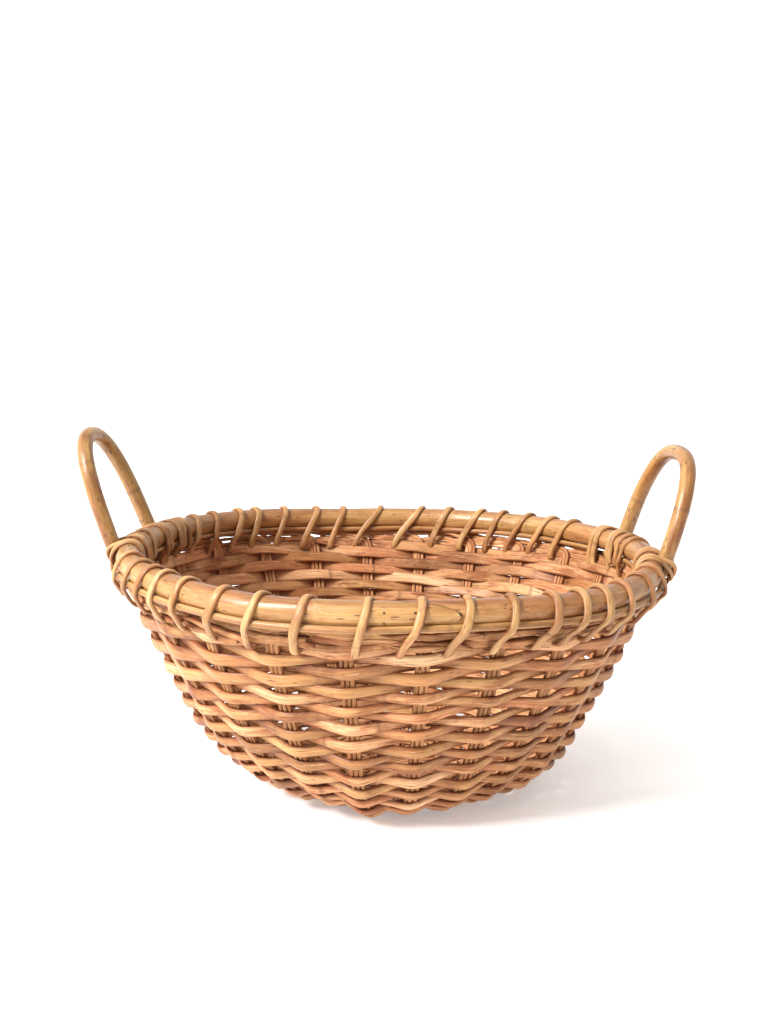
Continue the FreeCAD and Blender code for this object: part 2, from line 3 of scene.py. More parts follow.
import bpy
import numpy as np
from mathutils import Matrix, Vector


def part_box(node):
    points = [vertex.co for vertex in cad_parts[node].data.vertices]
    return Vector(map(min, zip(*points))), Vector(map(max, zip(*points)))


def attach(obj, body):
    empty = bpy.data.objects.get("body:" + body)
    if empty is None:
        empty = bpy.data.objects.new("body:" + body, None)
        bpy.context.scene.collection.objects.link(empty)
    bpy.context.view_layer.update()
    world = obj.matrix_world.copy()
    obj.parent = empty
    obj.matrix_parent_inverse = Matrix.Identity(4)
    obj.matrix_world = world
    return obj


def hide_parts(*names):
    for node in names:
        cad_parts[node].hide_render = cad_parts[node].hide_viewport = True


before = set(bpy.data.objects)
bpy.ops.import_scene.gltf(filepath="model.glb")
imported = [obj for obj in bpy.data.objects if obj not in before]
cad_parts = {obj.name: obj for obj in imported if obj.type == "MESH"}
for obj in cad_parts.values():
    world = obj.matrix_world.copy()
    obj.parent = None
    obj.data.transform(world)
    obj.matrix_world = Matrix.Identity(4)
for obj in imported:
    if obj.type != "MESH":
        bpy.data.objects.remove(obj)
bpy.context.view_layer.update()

MM = 0.001

# ------------------------------ sizes (mm)
# The CAD model's sizes. Every strand starts on its own solid and is then made
# a little uneven. Angles are in degrees from +X.
hoop_low, hoop_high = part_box("rim_hoop")
HOOP_TUBE = (hoop_high[2] - hoop_low[2]) / 2 / MM
HOOP_Z = (hoop_high[2] + hoop_low[2]) / 2 / MM
HOOP_R = (hoop_high[0] - hoop_low[0]) / 2 / MM - HOOP_TUBE
SCARF = -82.0                               # where the hoop's ends meet
STAKES = 24
STEP = 360.0 / STAKES
START = -2.2                                # the first upright
SPLIT_W, SPLIT_T, SPLIT_PITCH = 3.0, 3.4, 3.15
WEAVER_W, WEAVER_T, ROW = 7.0, 3.6, 7.2
LIFT = (SPLIT_T + WEAVER_T) / 2 + 0.2       # a weaver's height over the wall's middle
HALF = LIFT + WEAVER_T / 2                  # half the thickness of the wall
PROFILE_R = (78.0, 148.6, 191.0)            # the wall's curve, from the foot up
PROFILE_Z = (0.0, 9.4, 146.0)
STICK_END, STICK_W, STICK_T = 66.0, 4.9, 3.4
STICK_PITCH, STICK_STRAIGHT = 4.7, 17.5     # spacing, and half the parallel stretch
LAST_ROW_Z = 138.6
BASE_PITCH, BASE_START, BASE_TURNS = 3.6, 38.0, 3.5
BASE_WEAVER_W, BASE_WEAVER_T = 4.6, 2.2
CANE = 2.3                                  # radius of the thin canes
OUTER_CANE = (203.9, 162.7)                 # radius and height of their rings
INNER_CANE = (187.6, 160.9)
LASH_W, LASH_T = 5.8, 2.2
LEG_R, LEG_FOOT_Z = 204.5, 161.5
HANDLE_TUBE = 6.0
# middle angle, half width, rise over the hoop, outward lean, squareness
HANDLES = {"right": (11.5, 53.0, 81.7, 18.2, 2.76), "left": (178.5, 42.0, 97.5, 21.0, 2.4)}

# How far the hand-made basket is from a round and level one.
CORNER_AT, CORNER_OUT, CORNER_WIDTH = -92.0, 4.2, 8.5
OUT_LEFT, OUT_RIGHT, ROWS_UP = 8.0, 4.5, 5.0
FOOT_OUT, RIM_UP_LEFT, RIM_DOWN_RIGHT = 8.5, 6.0, 4.0


# ------------------------------ helpers
def wob(seed, x):
    """Smooth seeded noise between -1 and 1, one feature per unit of x."""
    x = np.asarray(x, float)
    low = int(np.floor(x.min()))
    grid = np.random.default_rng(seed).uniform(-1, 1, int(np.ceil(x.max())) - low + 3)
    i = np.floor(x).astype(int)
    f = x - i
    f = f * f * (3 - 2 * f)
    i = i - low
    return grid[i] * (1 - f) + grid[i + 1] * f


def smooth(v):
    v = np.clip(v, 0, 1)
    return v * v * (3 - 2 * v)


def unit(v):
    return v / np.maximum(np.linalg.norm(v, axis=-1, keepdims=True), 1e-9)


def lengths(points):
    """Distance from the first point of a line to each of its points."""
    return np.concatenate(([0.0], np.cumsum(np.linalg.norm(np.diff(points, axis=0), axis=1))))


def build_wall():
    """The wall's middle line from the centre of the base up: distance, place, slope."""
    t = np.linspace(0, 1, 801)
    both = PROFILE_R, PROFILE_Z
    r, z = ((1 - t) ** 2 * a + 2 * t * (1 - t) * b + t * t * c for a, b, c in both)
    dr, dz = (2 * (1 - t) * (b - a) + 2 * t * (c - b) for a, b, c in both)
    s = np.hypot(dr, dz)
    dr, dz = dr / s, dz / s
    r, z = r - dz * HALF, z + dr * HALF
    r = np.concatenate(([0.0], r, [r[-1] + 60 * dr[-1]]))
    z = np.concatenate(([HALF], z, [z[-1] + 60 * dz[-1]]))
    dr = np.concatenate(([1.0], dr, dr[-1:]))
    dz = np.concatenate(([0.0], dz, dz[-1:]))
    return lengths(np.stack([r, z], 1)), r, z, dr, dz


WALL = build_wall()


def wall(run):
    r, z, dr, dz = (np.interp(run, WALL[0], w) for w in WALL[1:])
    s = np.hypot(dr, dz)
    return r, z, dr / s, dz / s


def unevenness(run, angle):
    """The hand-made wall is not quite round: it swells by a few millimetres."""
    share = np.clip((run - 45.0) / 150.0, 0, 1)
    fade = np.sin(np.pi * share) ** 0.8
    turn = np.radians(angle)
    swell = 0.9 * np.sin(5 * turn + 1.3 + 2.1 * share) + 0.7 * np.sin(8 * turn + 0.4 - 3.0 * share)
    away = (angle - CORNER_AT + 180.0) % 360.0 - 180.0
    corner = CORNER_OUT * np.exp(-away ** 2 / CORNER_WIDTH ** 2)
    return fade * (swell + corner)


def wall_point(run, angle, lift, side=0.0):
    """Points and outward normals on the wall's middle surface."""
    run, angle, lift, side = np.broadcast_arrays(run, angle, lift, side)
    lift = lift + unevenness(run, angle)
    r, z, dr, dz = wall(run)
    a = np.radians(angle)
    rr = r + lift * dz
    c, s = np.cos(a), np.sin(a)
    p = np.stack([rr * c - side * s, rr * s + side * c, z - lift * dr], -1)
    n = np.stack([dz * c, dz * s, -dr], -1)
    return p, n


def settled(v):
    """Hand work is never quite true: the wall stands out under the rim at both
    sides, the rim rises to the left, the foot is fuller to the right."""
    v = v.copy()
    x, y, z = v[:, 0], v[:, 1], v[:, 2]
    r = np.maximum(np.hypot(x, y), 1e-6)
    turn = np.arctan2(y, x)
    left, right = np.clip(-np.cos(turn), 0, 1) ** 2, np.clip(np.cos(turn), 0, 1) ** 2
    out = (OUT_LEFT * left + OUT_RIGHT * right) * smooth((z - 92) / 45) * smooth((163 - z) / 16)
    up = ROWS_UP * (left + right) * smooth((z - 100) / 45) * smooth((162 - z) / 13)
    foot = FOOT_OUT * np.clip(np.cos(turn + 0.5), 0, 1) ** 1.5
    foot = foot * smooth((62 - z) / 50) * smooth((r - 35) / 35)
    high = smooth((z - 60) / 90)
    up = up + RIM_UP_LEFT * smooth((-x - 50) / 130) * high
    up = up - RIM_DOWN_RIGHT * smooth((x - 60) / 120) * smooth((20 - y) / 90) * high
    v[:, :2] *= ((r + out + foot) / r)[:, None]
    # nothing reaches below the floor: the lowest strands are worn flat
    v[:, 2] = np.maximum(v[:, 2] + up, 0.0)
    return v


def ring_point(r, z, angle):
    r, z, angle = np.broadcast_arrays(r, z, angle)
    a = np.radians(angle)
    return np.stack([r * np.cos(a), r * np.sin(a), z], -1)


def stake_angle(k):
    return START + STEP * np.asarray(k, float)


def flat_wave(x):
    """A cosine with flattened tops."""
    w = np.cos(np.pi * x)
    return w * (1.875 - 1.25 * w ** 2 + 0.375 * w ** 4)


def resample(points, normals, step, extra=()):
    """The same line with evenly spaced points; extra arrays follow along."""
    d = lengths(points)
    n = max(int(d[-1] / step), 4)
    s = np.linspace(0, d[-1], n + 1)
    p = np.stack([np.interp(s, d, points[:, i]) for i in range(3)], 1)
    q = unit(np.stack([np.interp(s, d, normals[:, i]) for i in range(3)], 1))
    return p, q, s, [np.interp(s, d, e) for e in extra]


def relax(p, times):
    """Rounds the corners of a line, keeping its ends."""
    p = p.copy()
    for _ in range(times):
        p[1:-1] = (p[:-2] + 2 * p[1:-1] + p[2:]) / 4
    return p


def cubic_weights(t):
    """Six times the weights of the four control points of a uniform cubic curve."""
    middle = 3 * t ** 3 - 6 * t ** 2 + 4
    return (1 - t) ** 3, middle, -3 * t ** 3 + 3 * t ** 2 + 3 * t + 1, t ** 3


def spline(p, sub):
    """Uniform cubic curve of control points, sub samples to a span."""
    p = np.asarray(p, float)
    q = np.concatenate([2 * p[:1] - p[1:2], p, 2 * p[-1:] - p[-2:-1]])
    out = []
    for t in np.arange(sub) / sub:
        b = np.array(cubic_weights(t)) / 6
        out.append(b[0] * q[:-3] + b[1] * q[1:-2] + b[2] * q[2:-1] + b[3] * q[3:])
    c = np.stack(out, 1).reshape(-1, p.shape[1])
    return np.concatenate([c, q[-3:-2] * 2 / 3 + (q[-2:-1] + q[-4:-3]) / 6])


# ------------------------------ sections
def closed_spline(poles, count):
    """A smooth closed section, one wide and one high."""
    p = np.array(poles, float)
    m = len(p)
    u = np.arange(count) * m / count
    i = u.astype(int)
    t = (u - i)[:, None]
    q = sum(w * p[(i + k - 1) % m] for k, w in enumerate(cubic_weights(t))) / 6
    q[:, 1] -= (q[:, 1].max() + q[:, 1].min()) / 2
    return q / np.array([np.ptp(q[:, 0]), np.ptp(q[:, 1])])


HALF_ROUND = closed_spline([
    (-0.9, -1), (-0.3, -1), (0.3, -1), (0.9, -1),
    (1.1, -0.25), (0.72, 0.95), (-0.72, 0.95), (-1.1, -0.25)], 20)
SPLIT = closed_spline([
    (-1, -0.9), (-0.5, -1.05), (0.5, -1.05), (1, -0.9),
    (1, 0.9), (0.5, 1.05), (-0.5, 1.05), (-1, 0.9)], 16)


def skin_side(section):
    """1 on the outer face and the edges of a section, 0 on its cut back."""
    return smooth((section[:, 1] + 0.42) / 0.22)


OUTER_SKIN = skin_side(HALF_ROUND)


def around_section(count):
    """The angle of each point round a section, as one row."""
    return np.linspace(0, 2 * np.pi, count, endpoint=False)[None]


def round_section(count):
    a = around_section(count)[0]
    return np.stack([np.cos(a), np.sin(a)], 1) / 2


# ------------------------------ strand mesh
class Piece:
    """Gathers several strands into one mesh with strand coordinates."""

    def __init__(self):
        self.v, self.f, self.a, self.b, self.base = [], [], [], [], 0

    def strand(self, p, n, section, width, thick, tone=0.5, skin=None, mark=0.0, twist=0.0,
               cut=0.0, relief=None, seed=0, lift=None, shade_depth=0.0):
        """Carries a section along p. n is the outward side of the strand.

        skin is 1 on the smooth outer skin and 0 on the cut pith side, mark
        darkens growth rings, cut slants the ends, relief adds small bumps and
        the last argument sets painted shade. With lift, the height over the
        wall's middle, that painted shade darkens each side the further it lies down in the weave,
        where shadow falls."""
        count = len(p)
        m = len(section)
        t = unit(np.gradient(p, axis=0))
        n = unit(n - (n * t).sum(1)[:, None] * t)
        s = np.cross(t, n)
        twist, width, thick, tone, mark = (
            np.broadcast_to(np.asarray(k, float), (count,))
            for k in (twist, width, thick, tone, mark))
        c, d = np.cos(twist)[:, None], np.sin(twist)[:, None]
        n, s = n * c + s * d, s * c - n * d
        x = section[None, :, 0] * width[:, None]
        y = section[None, :, 1] * thick[:, None]
        if relief is not None:
            grow = 1 + relief / np.maximum(np.hypot(x, y), 0.3)
            x, y = x * grow, y * grow
        slant = np.zeros(count)
        k = min(4, count // 3)
        for i in range(k):
            slant[i] = slant[-1 - i] = 1 - i / k
        v = p[:, None] + s[:, None] * x[..., None] + n[:, None] * y[..., None]
        v = v + t[:, None] * (slant[:, None] * x * cut)[..., None]
        # each strand's pattern starts at another place along the cane
        along = lengths(p) + seed * 137.0
        loop = np.concatenate([section, section[:1]])
        around = lengths(loop * [width.mean(), thick.mean()])[:-1]
        if skin is None:
            skin = skin_side(section)
        skin = np.broadcast_to(skin, (count, m))
        # painted shade: a face lying far below the wall's surface on its own side, where shadow
        # falls, gets darker, and a face standing out stays light
        if lift is not None:
            face = section[None, :, 1] * 2
            height = np.broadcast_to(lift, (count,))[:, None] + y
            outer, inner = (HALF - height) / (2 * HALF), (HALF + height) / (2 * HALF)
            out = smooth(face + 0.5)
            shade_depth = outer * out + inner * (1 - out)
        shade_depth = np.clip(np.broadcast_to(shade_depth, (count, m)), 0, 1)
        a = np.stack(np.broadcast_arrays(along[:, None] * MM, around[None, :] * MM, skin), -1)
        across = section[None, :, 0] * 2
        b = np.stack(np.broadcast_arrays(tone[:, None], mark[:, None], across, shade_depth), -1)
        start = self.base
        i = np.arange(count - 1)[:, None] * m
        j = np.arange(m)[None, :]
        k = (j + 1) % m
        quads = np.stack([i + j, i + k, i + m + k, i + m + j], -1).reshape(-1, 4) + start
        self.v.append(v.reshape(-1, 3))
        self.a.append(a.reshape(-1, 3))
        self.b.append(b.reshape(-1, 4))
        self.f.extend(quads[:, ::-1].tolist())
        self.base += count * m
        # a low cap with a bevelled edge closes each end
        for end, first in ((0, start), (count - 1, start + (count - 1) * m)):
            ring = v[end]
            centre = ring.mean(0) + t[end] * (-0.25 if end == 0 else 0.25)
            inner = centre + (ring - centre) * 0.8
            self.v.append(np.concatenate([inner, centre[None]]))
            self.a.append(np.tile([along[end] * MM, 0.0, 0.0], (m + 1, 1)))
            self.b.append(np.tile([tone[end], 0.5, 0.0, 0.3], (m + 1, 1)))
            for q in range(m):
                r = (q + 1) % m
                quad = [first + q, self.base + q, self.base + r, first + r]
                tri = [self.base + q, self.base + m, self.base + r]
                self.f.append(quad if end == 0 else quad[::-1])
                self.f.append(tri if end == 0 else tri[::-1])
            self.base += m + 1

    def make(self, name, node, material, settle=True):
        v = np.concatenate(self.v)
        v = (settled(v) if settle else v) * MM
        mesh = bpy.data.meshes.new(name)
        mesh.from_pydata(v.tolist(), [], self.f)
        mesh.update()
        a = mesh.attributes.new("strand", "FLOAT_VECTOR", "POINT")
        a.data.foreach_set("vector", np.concatenate(self.a).astype(np.float32).ravel())
        b = mesh.attributes.new("look", "FLOAT_COLOR", "POINT")
        b.data.foreach_set("color", np.concatenate(self.b).astype(np.float32).ravel())
        mesh.polygons.foreach_set("use_smooth", [True] * len(mesh.polygons))
        obj = bpy.data.objects.new(name, mesh)
        bpy.context.scene.collection.objects.link(obj)
        obj.data.materials.append(material)
        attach(obj, "root")
        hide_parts(node)
        return obj


# ------------------------------ materials
class Nodes:
    """Writes node trees in a few lines."""

    def __init__(self, block):
        self.block = block
        block.use_nodes = True
        self.tree = block.node_tree
        self.tree.nodes.clear()

    def add(self, kind, ins=None, **props):
        n = self.tree.nodes.new("ShaderNode" + kind)
        for k, v in props.items():
            setattr(n, k, v)
        for k, v in (ins or {}).items():
            if isinstance(v, bpy.types.NodeSocket):
                self.tree.links.new(v, n.inputs[k])
            else:
                n.inputs[k].default_value = v
        return n

    def math(self, op, a, b, c=0.0, clamp=False):
        return self.add("Math", {0: a, 1: b, 2: c}, operation=op, use_clamp=clamp).outputs[0]

    def mul(self, a, b, c=None, clamp=False):
        """a times b, plus c where it is given."""
        if c is None:
            return self.math("MULTIPLY", a, b, clamp=clamp)
        return self.math("MULTIPLY_ADD", a, b, c, clamp=clamp)

    def mix(self, fac, a, b, blend="MIX"):
        a, b = ((*v, 1.0) if isinstance(v, tuple) else v for v in (a, b))
        return self.add("Mix", {0: fac, 6: a, 7: b}, data_type="RGBA", blend_type=blend).outputs[2]

    def ramp(self, fac, stops):
        n = self.add("ValToRGB", {0: fac})
        e = n.color_ramp.elements
        while len(e) < len(stops):
            e.new(0.5)
        for el, (pos, col) in zip(e, stops):
            el.position = pos
            el.color = (*col, 1.0)
        return n.outputs[0]

    def range(self, v, a, b, c=0.0, d=1.0):
        """Smoothly from c to d while v goes from a to b."""
        ins = {0: v, 1: a, 2: b, 3: c, 4: d}
        return self.add("MapRange", ins, interpolation_type="SMOOTHSTEP").outputs[0]

    def noise(self, along, around, extra, detail=2.0, rough=0.5, warp=0.0):
        v = self.add("CombineXYZ", {0: along, 1: around, 2: extra}).outputs[0]
        ins = {"Vector": v, "Scale": 1.0, "Detail": detail, "Roughness": rough, "Distortion": warp}
        return self.add("TexNoise", ins).outputs[0]


# Colours from the darkest to the palest stretch of cane.
SKIN = [(0.0, (0.17, 0.062, 0.019)), (0.25, (0.31, 0.130, 0.041)), (0.5, (0.46, 0.222, 0.077)),
        (0.75, (0.58, 0.308, 0.115)), (1.0, (0.72, 0.445, 0.200))]
PITH = [(0.0, (0.30, 0.124, 0.053)), (0.3, (0.52, 0.255, 0.116)), (0.6, (0.70, 0.390, 0.200)),
        (1.0, (0.85, 0.580, 0.350))]
POLE = [(0.0, (0.21, 0.090, 0.028)), (0.3, (0.35, 0.172, 0.058)), (0.6, (0.48, 0.262, 0.096)),
        (1.0, (0.66, 0.435, 0.190))]
RODS = [(0.0, (0.16, 0.074, 0.019)), (0.3, (0.32, 0.165, 0.049)), (0.6, (0.50, 0.295, 0.094)),
        (1.0, (0.72, 0.50, 0.20))]
PEEL = [(0.0, (0.18, 0.074, 0.027)), (0.3, (0.35, 0.170, 0.063)), (0.6, (0.54, 0.310, 0.125)),
        (1.0, (0.76, 0.550, 0.280))]


def cane(name, skin_stops, pith_stops=PITH, gloss=0.36, fibres=0.3, specks=0.5, cracks=0.3,
         bump=1.0, grime=0.3, coat=0.12, stains=0.3):
    """Cane or split rattan, drawn in the strand's own coordinates."""
    g = Nodes(bpy.data.materials.new(name))
    strand, look = (g.add("Attribute", attribute_name=k) for k in ("strand", "look"))
    along, around, skin = g.add("SeparateXYZ", {0: strand.outputs["Vector"]}).outputs
    tone, mark, across = g.add("SeparateXYZ", {0: look.outputs["Vector"]}).outputs
    # amount of painted shade, from how far down in the weave each point lies
    shade_depth = look.outputs["Alpha"]
    key = g.mul(tone, 4.0)

    def at(a, b, off):
        return g.mul(along, a), g.mul(around, b), g.math("ADD", key, off)

    slow = g.noise(*at(9.0, 40.0, 3.0), detail=3.0, rough=0.55)
    blotch = g.noise(*at(55.0, 260.0, 11.0), detail=3.0, rough=0.6)
    fibre = g.noise(*at(40.0, 1450.0, 5.0), detail=4.0, rough=0.65)
    fine = g.noise(*at(150.0, 3600.0, 9.0), detail=2.0, rough=0.6)
    # base tone of this stretch of cane
    t = g.mul(blotch, 0.35, g.mul(slow, 0.75, g.mul(tone, 0.55)))
    t = g.math("SUBTRACT", t, 0.32)
    base = g.mix(skin, g.ramp(t, pith_stops), g.ramp(t, skin_stops))
    drift = g.noise(*at(6.0, 30.0, 71.0), detail=2.0, rough=0.5)
    pink, green = g.range(drift, 0.48, 0.62), g.range(drift, 0.50, 0.36)
    base = g.mix(g.mul(pink, 0.55), base, (1.0, 0.80, 0.72), "MULTIPLY")
    base = g.mix(g.mul(green, 0.45), base, (0.90, 0.98, 0.86), "MULTIPLY")
    # fibres darken and lighten the colour in thin lines along the strand
    gaps = g.math("SUBTRACT", 1.0, g.range(fibre, 0.36, 0.66))
    dark_lines = g.mul(gaps, g.mul(skin, -0.45 * fibres, 1.4 * fibres), clamp=True)
    base = g.mix(dark_lines, base, (0.50, 0.30, 0.17), "MULTIPLY")
    thin = g.mul(g.range(fine, 0.55, 0.8), fibres * 0.6)
    base = g.mix(thin, base, (0.55, 0.36, 0.19), "SCREEN")
    # dark specks of the skin
    place = g.add("CombineXYZ", {0: g.mul(along, 150.0), 1: g.mul(around, 620.0), 2: key})
    cell = g.add("TexVoronoi", {"Vector": place.outputs[0], "Scale": 1.0, "Randomness": 1.0})
    chance = g.add("SeparateXYZ", {0: cell.outputs["Color"]}).outputs[0]
    size = g.mul(g.range(chance, 0.95 - 0.5 * specks, 1.0), 0.36)
    dot = g.math("SUBTRACT", size, cell.outputs["Distance"])
    dot = g.mul(g.range(dot, 0.0, 0.12), specks)
    base = g.mix(dot, base, (0.10, 0.038, 0.016))
    # brown stains, longer than wide
    stain = g.range(g.noise(*at(26.0, 90.0, 83.0), detail=4.0, rough=0.62), 0.50, 0.64)
    base = g.mix(g.mul(stain, stains), base, (0.52, 0.30, 0.19), "MULTIPLY")
    # short cracks and scuffs along the grain
    rip = g.noise(*at(38.0, 900.0, 23.0), detail=5.0, rough=0.7, warp=0.4)
    tear = g.mul(g.range(rip, 0.60, 0.70), cracks)
    base = g.mix(tear, base, (0.13, 0.052, 0.024))
    scuff = g.noise(*at(70.0, 700.0, 31.0), detail=4.0, rough=0.7)
    base = g.mix(g.mul(g.range(scuff, 0.60, 0.72), 0.5), base, (0.72, 0.52, 0.30))
    # growth rings and cut ends, then patches of dirt
    base = g.mix(g.mul(mark, 0.75, clamp=True), base, (0.12, 0.048, 0.022))
    dirt = g.range(g.noise(*at(20.0, 120.0, 41.0), detail=4.0, rough=0.65), 0.52, 0.78)
    base = g.mix(g.mul(dirt, grime), base, (0.50, 0.26, 0.12), "MULTIPLY")
    # painted shade down in the weave: darkest where a strand lies recessed under its neighbours and
    # along its sides where rows touch, broken up in patches
    shaded_edge = g.range(g.math("ABSOLUTE", across, 0.0), 0.55, 1.0)
    patchy = g.noise(*at(30.0, 150.0, 61.0), detail=3.0, rough=0.6)
    depth = g.mul(shaded_edge, 0.45, g.mul(g.range(shade_depth, 0.30, 0.85), 0.90))
    depth = g.mul(depth, g.range(patchy, 0.2, 0.6, 0.75, 1.1), clamp=True)
    base = g.mix(depth, base, (0.40, 0.20, 0.13), "MULTIPLY")
    rough = g.mul(fibre, 0.22, g.mul(g.math("SUBTRACT", 1.0, skin), 0.28, gloss))
    rough = g.math("ADD", rough, g.mul(tear, 0.3), clamp=True)
    h = g.mul(blotch, 0.5, g.mul(fine, 0.25, g.mul(fibre, 0.55)))
    h = g.math("SUBTRACT", h, g.mul(tear, 1.6))
    h = g.math("SUBTRACT", h, g.mul(dot, 0.5))
    bumped = g.add("Bump", {"Height": h, "Strength": 0.8 * bump, "Distance": 0.00045})
    shader = g.add("BsdfPrincipled", {
        "Base Color": base, "Roughness": rough, "Normal": bumped.outputs[0],
        "Specular IOR Level": 0.3, "Coat Weight": g.mul(skin, coat), "Coat Roughness": 0.2})
    g.add("OutputMaterial", {0: shader.outputs[0]})
    return g.block


DULL_SKIN = [(p, (c[0] * 0.86, c[1] * 0.84, c[2] * 0.82)) for p, c in SKIN]
mat_weaver = cane("woven_cane", SKIN, fibres=0.55, specks=0.6, cracks=0.6, bump=1.4, stains=0.7)
mat_split = cane("upright_split", DULL_SKIN, gloss=0.5, fibres=0.7, specks=0.3, coat=0.1)
mat_pole = cane("hoop_pole", POLE, gloss=0.28, fibres=0.5, specks=0.8, cracks=0.5, bump=0.8,
                grime=0.5, coat=0.25, stains=0.4)
mat_rod = cane("handle_rod", RODS, gloss=0.28, fibres=0.55, specks=1.0, cracks=0.6, bump=0.9,
               grime=0.6, coat=0.3, stains=0.7)
mat_cane = cane("rim_cane", POLE, gloss=0.34, fibres=0.4, coat=0.2)
mat_peel = cane("lashing_peel", PEEL, gloss=0.38, fibres=0.5, specks=0.6, cracks=0.8, bump=1.3,
                coat=0.15, stains=0.6)


def steel():
    g = Nodes(bpy.data.materials.new("dull_nail"))
    pos = g.add("TexCoord").outputs["Object"]
    n = g.add("TexNoise", {"Vector": pos, "Scale": 2500.0, "Detail": 4.0}).outputs[0]
    col = g.ramp(n, [(0.3, (0.05, 0.035, 0.025)), (0.7, (0.16, 0.13, 0.11))])
    bumped = g.add("Bump", {"Height": n, "Strength": 0.4, "Distance": 0.0002})
    shader = g.add("BsdfPrincipled", {
        "Base Color": col, "Roughness": g.range(n, 0.2, 0.8, 0.35, 0.6), "Metallic": 0.8,
        "Normal": bumped.outputs[0]})
    g.add("OutputMaterial", {0: shader.outputs[0]})
    return g.block


# ------------------------------ side weave
FIRST_RUN = BASE_START + 2 * BASE_PITCH * BASE_TURNS + 8.6
LAST_RUN = float(np.interp(LAST_ROW_Z, WALL[2][1:], WALL[0][1:]))
WEAVE_TURNS = (LAST_RUN - FIRST_RUN) / (2 * ROW)


def pressed_up(run, pos):
    """Rows are spread a little after each weaver's end, to meet the border."""
    half = STAKES / 2
    to_end = (WEAVE_TURNS * STAKES - pos) % half
    share = to_end / half
    near = np.clip(np.minimum(to_end, half - to_end) / 1.5, 0, 1)
    at_edge = np.where(share > 0.5, 1 - 1.5 / half, 1.5 / half)
    share = np.where(near < 1, 0.5 + (at_edge - 0.5) * np.sin(0.5 * np.pi * near), share)
    return run + (ROW * share + 4.0) * (run - FIRST_RUN) / (LAST_RUN - FIRST_RUN)


def kinked_wave(x):
    """Nearly straight from one upright to the next, with a kink at each."""
    tri = 1 - 2 * np.abs((x + 1) % 2 - 1)
    return np.clip(tri / 0.88, -1, 1)


def side_weaver(parity, index, start, end):
    """One length of weaver; start and end are counted in uprights."""
    seed = 1000 * parity + 10 * index
    first_run = FIRST_RUN - parity * ROW
    start, end = start - 0.10, end + 0.10
    n = int((end - start) * 26)
    pos = np.linspace(start, end, n)
    run = pressed_up(first_run + 2 * ROW * pos / STAKES, pos)
    r = wall(run)[0]
    phase = kinked_wave(pos - parity)
    amp = LIFT * (1 + 0.07 * wob(seed + 1, pos * 0.9))
    sag = r * (1 - math.cos(math.radians(STEP / 2)))
    lift = amp * phase - sag * np.sin(np.pi * pos) ** 2 + 0.2 * wob(seed + 2, pos * 1.7)
    run = run + 1.0 * wob(seed + 3, pos * 0.55) + 0.6 * wob(seed + 4, pos * 1.6)
    angle = stake_angle(pos) + 0.4 * wob(seed + 5, pos * 0.5)
    p, nrm = wall_point(run, angle, lift)
    width = WEAVER_W * (1.14 + 0.11 * wob(seed + 6, pos * 0.22) + 0.07 * wob(seed + 7, pos * 1.3))
    width = width * (1 + 0.05 * phase)
    # wider cane where the rows are pulled apart, under the rim at the left and back
    turn = np.radians(angle)
    spread = np.maximum(np.clip(-np.cos(turn), 0, 1) ** 2, np.clip(np.sin(turn), 0, 1))
    width = width * (1 + 0.20 * spread * smooth((wall(run)[1] - 75) / 50))
    thick = WEAVER_T * (0.97 + 0.10 * wob(seed + 8, pos * 0.4))
    twist = 0.16 * wob(seed + 9, pos * 0.7) - 0.10 * phase
    p, nrm, s, (width, thick, twist, pos2, phase, lift) = resample(
        p, nrm, 1.7, (width, thick, twist, pos, phase, lift))
    p = relax(p, 3)
    mark = growth_rings(seed, s, 240.0)
    thick = thick * (1 + 0.10 * mark)
    width = width * (1 + 0.05 * mark)
    tip = smooth(np.minimum(s, s[-1] - s) / 14.0)
    width = width * (0.55 + 0.45 * tip)
    tone = 0.5 + 0.42 * wob(seed + 11, pos2 * 0.13) + 0.2 * wob(seed + 12, pos2 * 0.45)
    # painted shade and light: the weaver is a little darker where it passes behind an upright and
    # lighter where it stands out in front
    tone = tone + 0.05 * phase
    around = around_section(len(HALF_ROUND))
    ridge = 2 * wob(seed + 15, s / 60.0)[:, None]
    relief = 0.07 * wob(seed + 13, s / 5.0)[:, None] * np.cos(2 * around)
    relief = relief + 0.09 * wob(seed + 14, s / 22.0)[:, None] * np.cos(5 * around + ridge)
    # here and there the outer face gets the bare pith's colour instead of the skin's
    bare = smooth((wob(seed + 16, pos2 * 0.28) - 0.18) / 0.14)[:, None]
    back = HALF_ROUND[None, :, 1] < -0.2
    skin = OUTER_SKIN[None] * (1 - 0.95 * bare) + 0.8 * bare * back
    tone = tone + 0.12 * bare[:, 0]
    piece = Piece()
    piece.strand(p, nrm, HALF_ROUND, width, thick, tone, skin=skin, mark=mark, twist=twist,
                 cut=0.8, relief=relief, seed=index + 20 * parity, lift=lift)
    label = "%s%d" % ("ab"[parity], index)
    piece.make("woven_" + label, "side_weaver_" + label, mat_weaver)


def growth_rings(seed, s, spacing):
    """Narrow rings where the cane grew its leaves."""
    rng = np.random.default_rng(seed + 77)
    mark = np.zeros_like(s)
    at = rng.uniform(0, spacing)
    while at < s[-1]:
        mark += np.exp(-((s - at) / 1.3) ** 2) * rng.uniform(0.35, 1.0)
        at += spacing * rng.uniform(0.7, 1.3)
    return np.clip(mark, 0, 1)


def build_side_weavers():
    half = STAKES / 2
    for parity in (0, 1):
        last = WEAVE_TURNS * STAKES + parity * half
        start = 1.0 + parity * (half - 1)
        index = 1
        while last - start > half:
            end = start + 2.0 * STAKES
            if last - end < half:
                # the very last end is pushed up into the border
                end = start + 2 * math.floor((last - start) / 2) + 2
            side_weaver(parity, index, start + 0.12, end - 0.12)
            start = end
            index += 1


# ------------------------------ uprights
def tail_lift(distance, run):
    """A border tail climbs over the next upright's tail as it goes."""
    spacing = wall(run)[0] * math.radians(STEP)
    return (SPLIT_T + 0.2) * np.maximum(distance, 0) / spacing


